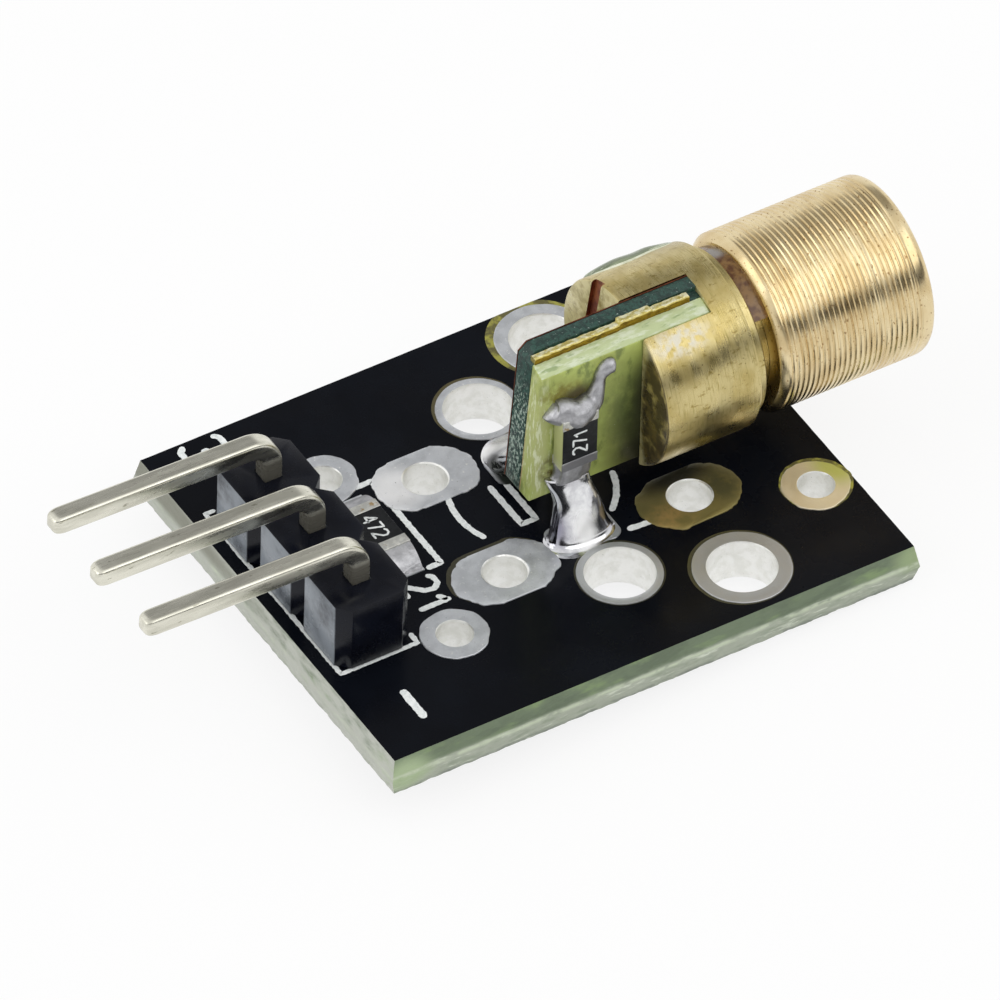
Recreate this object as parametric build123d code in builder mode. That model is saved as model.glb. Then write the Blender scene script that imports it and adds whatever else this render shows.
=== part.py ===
from build123d import *
import os
from math import atan, degrees

os.makedirs("parts", exist_ok=True)

# A laser diode module: a small circuit board with a right-angle pin header at
# the back, a chip resistor, and a brass laser head that is carried by its own
# upright pair of boards, soldered to the main board on both sides.
# +X is the way the beam leaves, +Z is up. The origin lies midway between the
# two mounting holes, on the underside of the circuit board.

# Circuit board, sizes at its flat faces
board_length = 18.2
board_width = 14.8
board_thickness = 1.4
front_margin = 4.95
side_shift = -0.1
snapped_ridge = 0.15
ridge_height = 0.6

# Plated holes and their pads
pad_thickness = 0.04
plating_wall = 0.07
mounting_hole_radius = 1.07
mounting_pad_radius = 1.53
mounting_spacing = 11.4
middle_hole_radius = 1.09
middle_pad_radius = 1.33
middle_spacing = 8.15
middle_line_x = -3.3
oval_hole_radius = 0.68
oval_pad_length = 3.45
oval_pad_width = 2.27
oval_spacing_x = 6.5
oval_spacing_y = 4.6
oval_centre_x = -3.0
grid_hole_radius = 0.56
grid_pad_radius = 1.08
grid_spacing_x = 12.7
grid_spacing_y = 7.62
grid_centre_x = -2.57
header_hole_radius = 0.5
header_pad_radius = 0.85

# Pin header
pin_count = 3
pin_pitch = 2.54
pin_size = 0.64
header_x = -11.49
header_y = 0.24
header_depth = 2.55
header_height = 2.45
header_corner = 0.4
pin_run_height = 3.72
pin_bend_radius = 0.8
pin_rise_angle = 1.8
pin_reaches = (7.5, 7.68, 7.66)
pin_tail = 1.15
pin_tip_bevel = 0.16
joint_height = 0.8

# Chip resistors
chip_length = 2.0
chip_width = 1.25
chip_height = 0.5
chip_wrap = 0.03
chip_terminal = 0.32
chip_coat_thickness = 0.02
chip_coat_margin = 0.02
board_chip_x = -8.93
board_chip_y = 0.83
chip_pad_inner = 0.75
chip_pad_outer = 1.85
chip_pad_width = 1.3
chip_solder_reach = 0.75
chip_solder_hollow = 1.2
driver_chip_x = -3.53

# Laser head
axis_height = 3.87
housing_radius = 3.0
housing_rear_x = -1.08
housing_length = 3.35
housing_edge = 0.08
shoulder_radius = 2.72
shoulder_length = 0.33
neck_radius = 2.1
neck_engagement = 2.2
housing_bore_radius = 1.5
housing_bore_setback = 1.0
notch_y = 1.0
notch_width = 0.43
notch_depth = 0.3
notch_floor = 0.9
slot_length = 2.39
slot_clearance = 0.03

# Ribbed lens cap
cap_gap = 0.47
cap_length = 5.44
cap_radius = 2.9
cap_rear_bevel = 0.25
cap_front_round = 0.28
cap_front_wall = 0.5
cap_bore_radius = 2.12
aperture_radius = 1.5
aperture_bevel = 0.2
groove_count = 26
groove_pitch = 0.182
groove_width = 0.11
groove_depth = 0.06
groove_start = 0.3

# Lens and its spring
lens_clearance = 0.02
lens_flange = 0.9
lens_dome_radius = 1.35
lens_dome_height = 0.35
spring_wire_radius = 0.12
spring_coil_radius = 1.7
spring_turns = 3
spring_flat_count = 6

# Upright boards in the head's slot
board_foil = 0.04
foil_offset = -0.05
laser_board_thickness = 0.78
driver_board_thickness = 0.58
upright_gap = 1.58
laser_board_height = 5.25
driver_board_height = 5.05
driver_top_drop = 0.18
upright_foot_x = -4.95
upright_edge_slant = 0.36
upright_corner = 0.27
contact_width = 0.22
contact_height = 0.2
contact_start = 0.06
contact_lengths = (2.98, 1.15, 1.29)
contact_setbacks = (0, 0.06, 0.03)
die_length = 0.3
die_width = 0.24
die_thickness = 0.1

# Solder that holds the upright boards, and the glue on the head
fillet_pad_length = 2.2
fillet_pad_width = 1.3
fillet_pad_corner = 0.32
near_fillet_x = -3.38
near_fillet_y = -2.05
far_fillet_x = -3.34
far_fillet_y = 1.5
fillet_top_x = -3.7
fillet_top_length = 1.5
fillet_top_width = 0.42
fillet_lip = 0.3
fillet_wetting = 0.6
fillet_hollow = 2.2
fillet_corner_share = 0.45
fillet_climb_shares = (0, 0.15, 0.35, 0.65, 1)
blob_radius = 0.28
blob_stand = 0.1
blob_offsets = ((-0.7, 0.38), (0.03, 0.02), (0.72, 0.14))
blob_tail_radius = 0.7
blob_tail_turn = 50
blob_tail_length = 0.3
cushion_length = 0.54
cushion_height = 0.35
sealant_depth = 0.45
sealant_sweep = 100
sealant_start = 55
bead_radius = 0.9
bead_sink = 0.75
bead_angle = 41
bead_length = 2.7
bead_inset = 0.35

# Places that follow from the sizes above
board_front_x = front_margin
board_centre_x = board_front_x - board_length / 2
board_top = board_thickness
pad_top = board_top + pad_thickness
axis_z = board_top + axis_height
housing_front_x = housing_rear_x + housing_length
shoulder_end_x = housing_front_x + shoulder_length
cap_rear_x = shoulder_end_x + cap_gap
neck_end_x = cap_rear_x + neck_engagement
cap_front_x = cap_rear_x + cap_length
lens_seat_x = cap_front_x - cap_front_wall
lens_back_x = lens_seat_x - lens_flange
slot_end_x = housing_rear_x + slot_length
laser_board_far_y = foil_offset - board_foil
laser_board_near_y = laser_board_far_y - laser_board_thickness
driver_near_y = laser_board_near_y - driver_board_thickness
upright_foot_z = board_top + upright_gap
upright_length = slot_end_x - upright_foot_x
laser_board_top = upright_foot_z + laser_board_height
driver_board_top = upright_foot_z + driver_board_height
rebate_width = contact_width + max(contact_setbacks)
pin_centres = [header_y + (i - (pin_count - 1) / 2) * pin_pitch for i in range(pin_count)]
header_top = board_top + header_height
head_axis = Plane(origin=(0, 0, axis_z), x_dir=(1, 0, 0), z_dir=(0, -1, 0))


def save(piece, label):
    """Name one finished piece and write it to its own file."""
    piece.part.label = label
    export_step(piece.part, f"parts/{label}.step")


# Hole places, shared by the board and its plating
mounting_holes = [(0, side * mounting_spacing / 2) for side in (-1, 1)]
middle_holes = [(middle_line_x, side * middle_spacing / 2) for side in (-1, 1)]
oval_holes = [
    (oval_centre_x + end * oval_spacing_x / 2, side * oval_spacing_y / 2)
    for end in (-1, 1)
    for side in (-1, 1)
]
grid_holes = [
    (grid_centre_x + end * grid_spacing_x / 2, side * grid_spacing_y / 2)
    for end in (-1, 1)
    for side in (-1, 1)
]
header_holes = [(header_x, y) for y in pin_centres]
hole_sets = [
    (mounting_holes, mounting_hole_radius),
    (middle_holes, middle_hole_radius),
    (oval_holes, oval_hole_radius),
    (grid_holes, grid_hole_radius),
    (header_holes, header_hole_radius),
]

# Circuit board: scored and snapped out of a panel, so its edges run out to a
# ridge between the two faces
upper_slope = degrees(atan(snapped_ridge / (board_thickness - ridge_height)))
lower_slope = degrees(atan(snapped_ridge / ridge_height))
with BuildPart() as circuit_board:
    with BuildSketch(Plane.XY.offset(ridge_height)) as ridge_outline:
        with Locations((board_centre_x, side_shift)):
            Rectangle(board_length + 2 * snapped_ridge, board_width + 2 * snapped_ridge)
    extrude(amount=board_thickness - ridge_height, taper=upper_slope)
    extrude(ridge_outline.sketch, amount=-ridge_height, taper=lower_slope)
    for places, radius in hole_sets:
        with Locations(*[(x, y, board_top) for x, y in places]):
            Hole(radius + plating_wall, depth=board_thickness)
save(circuit_board, "circuit_board")


def plated_holes(places, hole_radius, pad_radius):
    """Copper rings on both faces, joined by the plated wall of each hole."""
    with BuildPart() as plating:
        with BuildSketch(Plane.XY.offset(-pad_thickness)):
            with Locations(*places):
                Circle(hole_radius + plating_wall)
        extrude(amount=board_thickness + 2 * pad_thickness)
        for face_z in (-pad_thickness, board_top):
            with BuildSketch(Plane.XY.offset(face_z)):
                with Locations(*places):
                    Circle(pad_radius)
            extrude(amount=pad_thickness)
        with BuildSketch(Plane.XY.offset(-pad_thickness)):
            with Locations(*places):
                Circle(hole_radius)
        extrude(amount=board_thickness + 2 * pad_thickness, mode=Mode.SUBTRACT)
    return plating


save(plated_holes(mounting_holes, mounting_hole_radius, mounting_pad_radius), "mounting_hole_plating")
save(plated_holes(middle_holes, middle_hole_radius, middle_pad_radius), "middle_hole_plating")
save(plated_holes(grid_holes, grid_hole_radius, grid_pad_radius), "grid_hole_plating")
save(plated_holes(header_holes, header_hole_radius, header_pad_radius), "header_hole_plating")

# The oval pads are slots of copper round a round hole
with BuildPart() as oval_plating:
    with BuildSketch(Plane.XY.offset(-pad_thickness)):
        with Locations(*oval_holes):
            Circle(oval_hole_radius + plating_wall)
    extrude(amount=board_thickness + 2 * pad_thickness)
    for face_z in (-pad_thickness, board_top):
        with BuildSketch(Plane.XY.offset(face_z)):
            with Locations(*oval_holes):
                SlotOverall(oval_pad_length, oval_pad_width)
        extrude(amount=pad_thickness)
    with BuildSketch(Plane.XY.offset(-pad_thickness)):
        with Locations(*oval_holes):
            Circle(oval_hole_radius)
    extrude(amount=board_thickness + 2 * pad_thickness, mode=Mode.SUBTRACT)
save(oval_plating, "oval_hole_plating")

# Bare copper lands under the chip resistor and under the two solder fillets
chip_pad_length = chip_pad_outer - chip_pad_inner
chip_pad_centre = (chip_pad_outer + chip_pad_inner) / 2
with BuildPart() as chip_lands:
    with BuildSketch(Plane.XY.offset(board_top)):
        with Locations(*[(board_chip_x, board_chip_y + side * chip_pad_centre) for side in (-1, 1)]):
            Rectangle(chip_pad_width, chip_pad_length)
    extrude(amount=pad_thickness)
save(chip_lands, "chip_lands")

with BuildPart() as fillet_lands:
    with BuildSketch(Plane.XY.offset(board_top)):
        with Locations((near_fillet_x, near_fillet_y), (far_fillet_x, far_fillet_y)):
            RectangleRounded(fillet_pad_length, fillet_pad_width, fillet_pad_corner)
    extrude(amount=pad_thickness)
save(fillet_lands, "fillet_lands")


# Header moulding: one eight-sided block per pin, side by side on the board
with BuildPart() as header_body:
    with BuildSketch(Plane.XY.offset(pad_top)) as header_plan:
        with Locations(*header_holes):
            Rectangle(header_depth, pin_pitch)
        for y in pin_centres:
            corners = [
                (header_x + end * header_depth / 2, y + side * pin_pitch / 2)
                for end in (-1, 1)
                for side in (-1, 1)
            ]
            with Locations(*corners):
                Rectangle(
                    header_corner * 2**0.5, header_corner * 2**0.5, rotation=45, mode=Mode.SUBTRACT
                )
        with Locations(*header_holes):
            Rectangle(pin_size, pin_size, mode=Mode.SUBTRACT)
    extrude(amount=header_height - pad_thickness)
save(header_body, "header_body")


def bent_pin(y, reach):
    """One square pin: a tail through the board, a bend, and a run out over the rear edge."""
    bend_start = board_top + pin_run_height - pin_bend_radius
    pin_plane = Plane(origin=(header_x, y, 0), x_dir=(-1, 0, 0), z_dir=(0, 1, 0))
    with BuildPart() as pin:
        with BuildLine(pin_plane) as route:
            tail = Line((0, -pin_tail), (0, bend_start))
            bend = JernArc(tail @ 1, tail % 1, radius=pin_bend_radius, arc_size=-(90 - pin_rise_angle))
            Line(bend @ 1, (bend @ 1) + (bend % 1) * (reach - pin_bend_radius))
        with BuildSketch(Plane(origin=(header_x, y, -pin_tail), z_dir=(0, 0, 1))):
            Rectangle(pin_size, pin_size)
        sweep(path=route.wires()[0])
        tip_edges = pin.faces().sort_by(Axis.X)[0].edges()
        tail_edges = pin.faces().sort_by(Axis.Z)[0].edges()
        chamfer(tip_edges + tail_edges, pin_tip_bevel)
    return pin


pin_names = ["header_pin_near", "header_pin_middle", "header_pin_far"]
pins = [bent_pin(y, reach) for y, reach in zip(pin_centres, pin_reaches)]
for pin, name in zip(pins, pin_names):
    save(pin, name)


# Header joints: each fills its plated hole round the pin and runs down the tail
with BuildPart() as header_solder:
    with BuildSketch(Plane.XY.offset(-pad_thickness)):
        with Locations(*header_holes):
            Circle(header_hole_radius)
    extrude(amount=board_thickness + 2 * pad_thickness)
    for x, y in header_holes:
        with BuildSketch(Plane(origin=(x, y, 0), x_dir=(1, 0, 0), z_dir=(0, -1, 0))):
            with BuildLine():
                Polyline(
                    (pin_size / 2, -joint_height),
                    (0, -joint_height),
                    (0, -pad_thickness),
                    (header_pad_radius, -pad_thickness),
                    close=True,
                )
            make_face()
        revolve(axis=Axis((x, y, 0), (0, 0, 1)))
    with BuildSketch(Plane.XY.offset(-joint_height)):
        with Locations(*header_holes):
            Rectangle(pin_size, pin_size)
    extrude(amount=joint_height + pad_top, mode=Mode.SUBTRACT)
save(header_solder, "header_solder")


def chip_resistor(plane, name):
    """A chip resistor lying on a plane: its length along the plane's y, its top along z."""
    seat = chip_wrap
    top = seat + chip_height
    with BuildPart() as body:
        with BuildSketch(plane.offset(seat)):
            Rectangle(chip_width, chip_length)
        extrude(amount=chip_height)
    with BuildPart() as ends:
        with BuildSketch(plane):
            with Locations(*[(0, side * (chip_length - chip_terminal) / 2) for side in (-1, 1)]):
                Rectangle(chip_width, chip_terminal)
        extrude(amount=chip_height + 2 * chip_wrap)
        with BuildSketch(plane):
            with Locations(*[(0, side * (chip_length + chip_wrap) / 2) for side in (-1, 1)]):
                Rectangle(chip_width, chip_wrap)
        extrude(amount=chip_height + 2 * chip_wrap)
        with BuildSketch(plane.offset(seat)):
            Rectangle(chip_width, chip_length)
        extrude(amount=chip_height, mode=Mode.SUBTRACT)
    with BuildPart() as coat:
        with BuildSketch(plane.offset(top)):
            Rectangle(chip_width - 2 * chip_coat_margin, chip_length - 2 * chip_terminal)
        extrude(amount=chip_coat_thickness)
    save(body, f"{name}_body")
    save(ends, f"{name}_terminals")
    save(coat, f"{name}_coat")


board_chip_plane = Plane(origin=(board_chip_x, board_chip_y, pad_top), x_dir=(1, 0, 0), z_dir=(0, 0, 1))
driver_chip_plane = Plane(origin=(driver_chip_x, driver_near_y, axis_z), x_dir=(1, 0, 0), z_dir=(0, -1, 0))
chip_resistor(board_chip_plane, "board_resistor")
chip_resistor(driver_chip_plane, "driver_resistor")

# Solder at both ends of the board resistor, hollowed as it wets the terminal
chip_reach = chip_length / 2 + chip_wrap
with BuildPart() as board_resistor_solder:
    for side in (-1, 1):
        heel = (side * chip_reach, 0)
        toe = (side * (chip_reach + chip_solder_reach), 0)
        crown = (side * chip_reach, chip_height)
        with BuildSketch(
            Plane(
                origin=(board_chip_x - chip_width / 2, board_chip_y, pad_top),
                x_dir=(0, 1, 0),
                z_dir=(1, 0, 0),
            )
        ):
            with BuildLine():
                Line(toe, heel)
                Line(heel, crown)
                RadiusArc(crown, toe, side * chip_solder_hollow)
            make_face()
        extrude(amount=chip_width)
save(board_resistor_solder, "board_resistor_solder")


# Upright boards: the laser board behind, the driver board in front of it,
# with one slanting rear edge for both
def upright_outline(top):
    """The side view of an upright board, up to the height of its top edge."""
    rise = top - upright_foot_z
    top_x = upright_foot_x + upright_edge_slant * rise / laser_board_height
    return [
        (upright_foot_x, upright_foot_z),
        (slot_end_x, upright_foot_z),
        (slot_end_x, top),
        (top_x, top),
    ]


with BuildPart() as laser_board:
    with BuildSketch(Plane.XZ.offset(-laser_board_far_y)):
        with BuildLine():
            Polyline(*upright_outline(laser_board_top), close=True)
        make_face()
    extrude(amount=laser_board_thickness)
    rear_top = laser_board.edges().filter_by(Axis.Y).group_by(Axis.Z)[-1].sort_by(Axis.X)[0]
    chamfer(rear_top, upright_corner)
    with BuildSketch(Plane.XZ.offset(-laser_board_near_y - rebate_width)):
        with Locations(((slot_end_x + upright_foot_x) / 2, laser_board_top)):
            Rectangle(2 * upright_length, 2 * contact_height)
    extrude(amount=2 * rebate_width, mode=Mode.SUBTRACT)
save(laser_board, "laser_board")

with BuildPart() as laser_board_foil:
    with BuildSketch(Plane.XZ.offset(-foil_offset)):
        with BuildLine():
            Polyline(*upright_outline(laser_board_top), close=True)
        make_face()
    extrude(amount=board_foil)
    foil_corner = laser_board_foil.edges().filter_by(Axis.Y).group_by(Axis.Z)[-1].sort_by(Axis.X)[0]
    chamfer(foil_corner, upright_corner)
save(laser_board_foil, "laser_board_foil")

with BuildPart() as driver_board:
    with BuildSketch(Plane.XZ.offset(-laser_board_near_y)):
        with BuildLine():
            Polyline(*upright_outline(driver_board_top), close=True)
        make_face()
    extrude(amount=driver_board_thickness)
    sawn_top = Plane(
        origin=(0, laser_board_near_y, driver_board_top),
        x_dir=(1, 0, 0),
        z_dir=(0, -driver_top_drop, driver_board_thickness),
    )
    split(bisect_by=sawn_top, keep=Keep.BOTTOM)
save(driver_board, "driver_board")

# Gold contact strip in the rebate along the laser board's top edge: three
# lengths end to end, each set back a little from the one before
with BuildPart() as edge_contact:
    strip_start = upright_foot_x + upright_edge_slant + contact_start
    for length, setback in zip(contact_lengths, contact_setbacks):
        with BuildSketch(Plane.XY.offset(laser_board_top - contact_height)):
            with Locations((strip_start, laser_board_near_y + setback)):
                Rectangle(length, contact_width, align=(Align.MIN, Align.MIN))
        extrude(amount=contact_height)
        strip_start += length
save(edge_contact, "edge_contact")

with BuildPart() as laser_die:
    with BuildSketch(Plane.XZ.offset(-foil_offset)):
        with Locations((slot_end_x - die_length / 2, axis_z)):
            Rectangle(die_length, die_width)
    extrude(amount=-die_thickness)
save(laser_die, "laser_die")


def solder_column(foot_x, foot_y, top_y):
    """A hollow-sided column of solder, from its land up to the foot of the upright boards."""
    wetting_top = upright_foot_z + fillet_wetting
    with BuildPart() as column:
        for share in fillet_climb_shares:
            flare = (1 - share) ** fillet_hollow
            length = fillet_top_length + flare * (fillet_pad_length - fillet_top_length)
            width = fillet_top_width + flare * (fillet_pad_width - fillet_top_width)
            centre_x = fillet_top_x + flare * (foot_x - fillet_top_x)
            centre_y = top_y + flare * (foot_y - top_y)
            with BuildSketch(Plane.XY.offset(pad_top + share * (wetting_top - pad_top))):
                with Locations((centre_x, centre_y)):
                    RectangleRounded(length, width, fillet_corner_share * width)
        loft()
        with BuildSketch(Plane.XY.offset(upright_foot_z)):
            with Locations((upright_foot_x, foil_offset)):
                Rectangle(upright_length, foil_offset - driver_near_y, align=(Align.MIN, Align.MAX))
        extrude(amount=laser_board_height, mode=Mode.SUBTRACT)
    return column


near_top_y = driver_near_y - fillet_lip + fillet_top_width / 2
far_top_y = foil_offset + fillet_lip - fillet_top_width / 2
save(solder_column(near_fillet_x, near_fillet_y, near_top_y), "near_solder_fillet")
save(solder_column(far_fillet_x, far_fillet_y, far_top_y), "far_solder_fillet")

# Solder at the driver resistor: a curved run with a tail at the top end, and a
# cushion at the bottom end that meets the near fillet
blob_plane = Plane(
    origin=(driver_chip_x, driver_near_y - blob_stand, axis_z + chip_reach),
    x_dir=(1, 0, 0),
    z_dir=(0, -1, 0),
)
with BuildPart() as driver_resistor_solder:
    with BuildLine(blob_plane) as blob_route:
        run = ThreePointArc(*blob_offsets)
        bend = JernArc(run @ 1, run % 1, radius=blob_tail_radius, arc_size=blob_tail_turn)
        Line(bend @ 1, (bend @ 1) + (bend % 1) * blob_tail_length)
    blob_wire = blob_route.wires()[0]
    with BuildSketch(Plane(origin=blob_wire @ 0, z_dir=blob_wire % 0)):
        Circle(blob_radius)
    sweep(path=blob_wire)
    with Locations(blob_wire @ 1):
        Sphere(blob_radius)
    with BuildSketch(Plane.XZ.offset(-driver_near_y)):
        with Locations((driver_chip_x, axis_z - chip_reach)):
            Rectangle(chip_width, cushion_length, align=(Align.CENTER, Align.MAX))
    extrude(amount=cushion_height)
    split(bisect_by=Plane.XZ.offset(-driver_near_y), keep=Keep.TOP)
    with BuildSketch(driver_chip_plane):
        Rectangle(chip_width, 2 * chip_reach)
    extrude(amount=chip_height + 2 * chip_wrap, mode=Mode.SUBTRACT)
save(driver_resistor_solder, "driver_resistor_solder")

# Laser housing: turned brass, sawn through from the rear for the upright
# boards, with a reduced neck that the lens cap screws onto
slot_far_y = foil_offset + slot_clearance
slot_near_y = driver_near_y - slot_clearance
with BuildPart() as laser_housing:
    with BuildSketch(head_axis):
        with BuildLine():
            Polyline(
                (housing_rear_x, 0),
                (housing_rear_x, housing_radius - housing_edge),
                (housing_rear_x + housing_edge, housing_radius),
                (housing_front_x - housing_edge, housing_radius),
                (housing_front_x, housing_radius - housing_edge),
                (housing_front_x, shoulder_radius),
                (shoulder_end_x, shoulder_radius),
                (shoulder_end_x, neck_radius),
                (neck_end_x, neck_radius),
                (neck_end_x, housing_bore_radius),
                (slot_end_x - housing_bore_setback, housing_bore_radius),
                (slot_end_x - housing_bore_setback, 0),
                close=True,
            )
        make_face()
    revolve(axis=Axis((0, 0, axis_z), (1, 0, 0)))
    with BuildSketch(Plane.XY.offset(axis_z - 2 * housing_radius)):
        with Locations((slot_end_x, slot_near_y)):
            Rectangle(2 * slot_length, slot_far_y - slot_near_y, align=(Align.MAX, Align.MIN))
    extrude(amount=4 * housing_radius, mode=Mode.SUBTRACT)
    with BuildSketch(Plane.XY.offset(axis_z + notch_floor)):
        with Locations((housing_rear_x, notch_y)):
            Rectangle(2 * notch_depth, notch_width, align=(Align.CENTER, Align.MIN))
    extrude(amount=housing_radius, mode=Mode.SUBTRACT)
save(laser_housing, "laser_housing")

# Lens cap: a turned cap with fine rings round it, a screwed bore and an aperture
with BuildPart() as lens_cap:
    with BuildSketch(head_axis):
        with BuildLine():
            Polyline(
                (cap_front_x - cap_front_round, cap_radius),
                (cap_rear_x + cap_rear_bevel, cap_radius),
                (cap_rear_x, cap_radius - cap_rear_bevel),
                (cap_rear_x, cap_bore_radius),
                (lens_seat_x, cap_bore_radius),
                (lens_seat_x, aperture_radius),
                (cap_front_x - aperture_bevel, aperture_radius),
                (cap_front_x, aperture_radius + aperture_bevel),
                (cap_front_x, cap_radius - cap_front_round),
            )
            RadiusArc(
                (cap_front_x, cap_radius - cap_front_round),
                (cap_front_x - cap_front_round, cap_radius),
                -cap_front_round,
            )
        make_face()
    revolve(axis=Axis((0, 0, axis_z), (1, 0, 0)))
    with BuildSketch(head_axis):
        for i in range(groove_count):
            groove_x = cap_rear_x + groove_start + i * groove_pitch
            with BuildLine():
                Polyline(
                    (groove_x, cap_radius),
                    (groove_x + groove_width / 2, cap_radius - groove_depth),
                    (groove_x + groove_width, cap_radius),
                    (groove_x + groove_width / 2, cap_radius + groove_depth),
                    close=True,
                )
            make_face()
    revolve(axis=Axis((0, 0, axis_z), (1, 0, 0)), mode=Mode.SUBTRACT)
save(lens_cap, "lens_cap")

# Collimating lens: a flanged plastic disc, domed on both sides
lens_radius = cap_bore_radius - lens_clearance
dome_sphere = (lens_dome_radius**2 + lens_dome_height**2) / (2 * lens_dome_height)
dome_half_height = (dome_sphere**2 - lens_dome_radius**2 / 4) ** 0.5 - (dome_sphere - lens_dome_height)
with BuildPart() as collimating_lens:
    with BuildSketch(head_axis):
        with BuildLine():
            Polyline(
                (lens_back_x - lens_dome_height, 0),
                (lens_seat_x + lens_dome_height, 0),
            )
            ThreePointArc(
                (lens_seat_x + lens_dome_height, 0),
                (lens_seat_x + dome_half_height, lens_dome_radius / 2),
                (lens_seat_x, lens_dome_radius),
            )
            Polyline(
                (lens_seat_x, lens_dome_radius),
                (lens_seat_x, lens_radius),
                (lens_back_x, lens_radius),
                (lens_back_x, lens_dome_radius),
            )
            ThreePointArc(
                (lens_back_x, lens_dome_radius),
                (lens_back_x - dome_half_height, lens_dome_radius / 2),
                (lens_back_x - lens_dome_height, 0),
            )
        make_face()
    revolve(axis=Axis((0, 0, axis_z), (1, 0, 0)))
save(collimating_lens, "collimating_lens")

# Lens spring: pushes the lens against the cap's front wall, off the neck's end.
# Its fine wire is drawn with flats
spring_rise = lens_back_x - neck_end_x - 2 * spring_wire_radius
with BuildPart() as lens_spring:
    with BuildLine() as coil:
        Helix(
            pitch=spring_rise / spring_turns,
            height=spring_rise,
            radius=spring_coil_radius,
            center=(neck_end_x + spring_wire_radius, 0, axis_z),
            direction=(1, 0, 0),
        )
    with BuildSketch(Plane(origin=coil.edges()[0] @ 0, z_dir=coil.edges()[0] % 0)):
        RegularPolygon(spring_wire_radius, spring_flat_count)
    sweep(path=coil.edges()[0], is_frenet=True)
save(lens_spring, "lens_spring")

# Sealant that locks the screwed cap, over the top of the neck
with BuildPart() as thread_sealant:
    with BuildSketch(head_axis.rotated((-sealant_start, 0, 0))):
        with Locations((shoulder_end_x, neck_radius)):
            Rectangle(cap_gap, sealant_depth, align=(Align.MIN, Align.MIN))
    revolve(axis=Axis((0, 0, axis_z), (1, 0, 0)), revolution_arc=sealant_sweep)
save(thread_sealant, "thread_sealant")

# A bead of clear glue along the far upper side of the housing
bead_plane = Plane(
    origin=(housing_rear_x + bead_inset, 0, axis_z), x_dir=(0, 1, 0), z_dir=(1, 0, 0)
)
with BuildPart() as glue_bead:
    with BuildSketch(bead_plane):
        with PolarLocations(housing_radius - bead_sink, 1, start_angle=bead_angle):
            Circle(bead_radius)
        Circle(housing_radius, mode=Mode.SUBTRACT)
    extrude(amount=bead_length)
save(glue_bead, "glue_bead")
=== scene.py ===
import logging
import math
from collections.abc import Iterable, Sequence
from dataclasses import dataclass, field
from enum import Enum
from typing import Protocol

import bmesh
import bpy
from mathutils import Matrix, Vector, noise
from mathutils.geometry import delaunay_2d_cdt


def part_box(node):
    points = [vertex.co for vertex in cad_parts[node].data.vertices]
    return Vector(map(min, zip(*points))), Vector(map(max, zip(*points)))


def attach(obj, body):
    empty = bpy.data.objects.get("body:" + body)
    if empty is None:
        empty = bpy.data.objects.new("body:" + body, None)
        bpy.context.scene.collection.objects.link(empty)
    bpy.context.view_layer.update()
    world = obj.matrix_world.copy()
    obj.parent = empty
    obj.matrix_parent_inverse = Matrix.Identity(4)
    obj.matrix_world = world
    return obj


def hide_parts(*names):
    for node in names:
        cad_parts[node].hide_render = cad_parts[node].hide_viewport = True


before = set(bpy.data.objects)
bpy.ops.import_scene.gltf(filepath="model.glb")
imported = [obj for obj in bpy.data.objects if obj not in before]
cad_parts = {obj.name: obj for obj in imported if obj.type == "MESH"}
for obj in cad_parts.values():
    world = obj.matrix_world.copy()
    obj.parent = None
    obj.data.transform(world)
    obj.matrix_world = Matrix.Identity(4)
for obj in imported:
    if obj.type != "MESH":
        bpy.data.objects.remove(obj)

logging.basicConfig(level=logging.INFO, format="%(message)s")
log = logging.getLogger("laser_module")

MM = 0.001
BODY = "root"

Point = tuple[float, float, float]
Flat = tuple[float, float]
Ring = list[Point]
Face = tuple[int, ...]
Tree = bpy.types.NodeTree
Link = tuple[bpy.types.Node, str | int]

SMOOTH = {"interpolation_type": "SMOOTHSTEP"}
MULTIPLY = {"operation": "MULTIPLY"}
DOT_PRODUCT = {"operation": "DOT_PRODUCT"}
MIX_NUMBERS = {"data_type": "FLOAT"}
MIX_COLOURS = {"data_type": "RGBA"}
# Sockets of the Mix node: its share, the two numbers or two colours that it mixes, and the new colour
SHARE, NUMBER_A, NUMBER_B, COLOUR_A, COLOUR_B, MIXED_COLOUR = 0, 2, 3, 6, 7, 2
NOISE_ROUGHNESS = 0.6
LEAST_ROUGHNESS = 0.02
DULLED_METAL = 0.15
WELD_MM = 0.0002
COPY_WELD_MM = 0.0005


def box_mm(node: str) -> tuple[Vector, Vector]:
    """Give a node's lowest and highest corner in millimetres."""
    low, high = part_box(node)
    return low / MM, high / MM


def linear(colour: str) -> tuple[float, float, float, float]:
    """Turn an sRGB hex colour to linear light.

    Args:
        colour: The colour as "#rrggbb".

    Returns:
        Red, green, blue and an alpha of 1.
    """
    parts = [int(colour[i : i + 2], 16) / 255 for i in (1, 3, 5)]
    light = [p / 12.92 if p <= 0.04045 else ((p + 0.055) / 1.055) ** 2.4 for p in parts]
    return light[0], light[1], light[2], 1.0


def add_node(
    tree: Tree,
    kind: str,
    settings: dict[str, object] | None = None,
    inputs: dict[str | int, object] | None = None,
) -> bpy.types.Node:
    """Add a node with its settings, and give each socket a value or a link.

    Args:
        tree: The node tree to add to.
        kind: The node's Blender type, without the part that all names share.
        settings: Attribute values by name.
        inputs: A value or a (node, output) link by input socket.

    Returns:
        The new node.
    """
    node = tree.nodes.new(f"ShaderNode{kind}")
    for key, value in (settings or {}).items():
        setattr(node, key, value)
    for socket, value in (inputs or {}).items():
        if isinstance(value, tuple) and isinstance(value[0], bpy.types.Node):
            tree.links.new(value[0].outputs[value[1]], node.inputs[socket])
        else:
            node.inputs[socket].default_value = value
    return node


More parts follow.
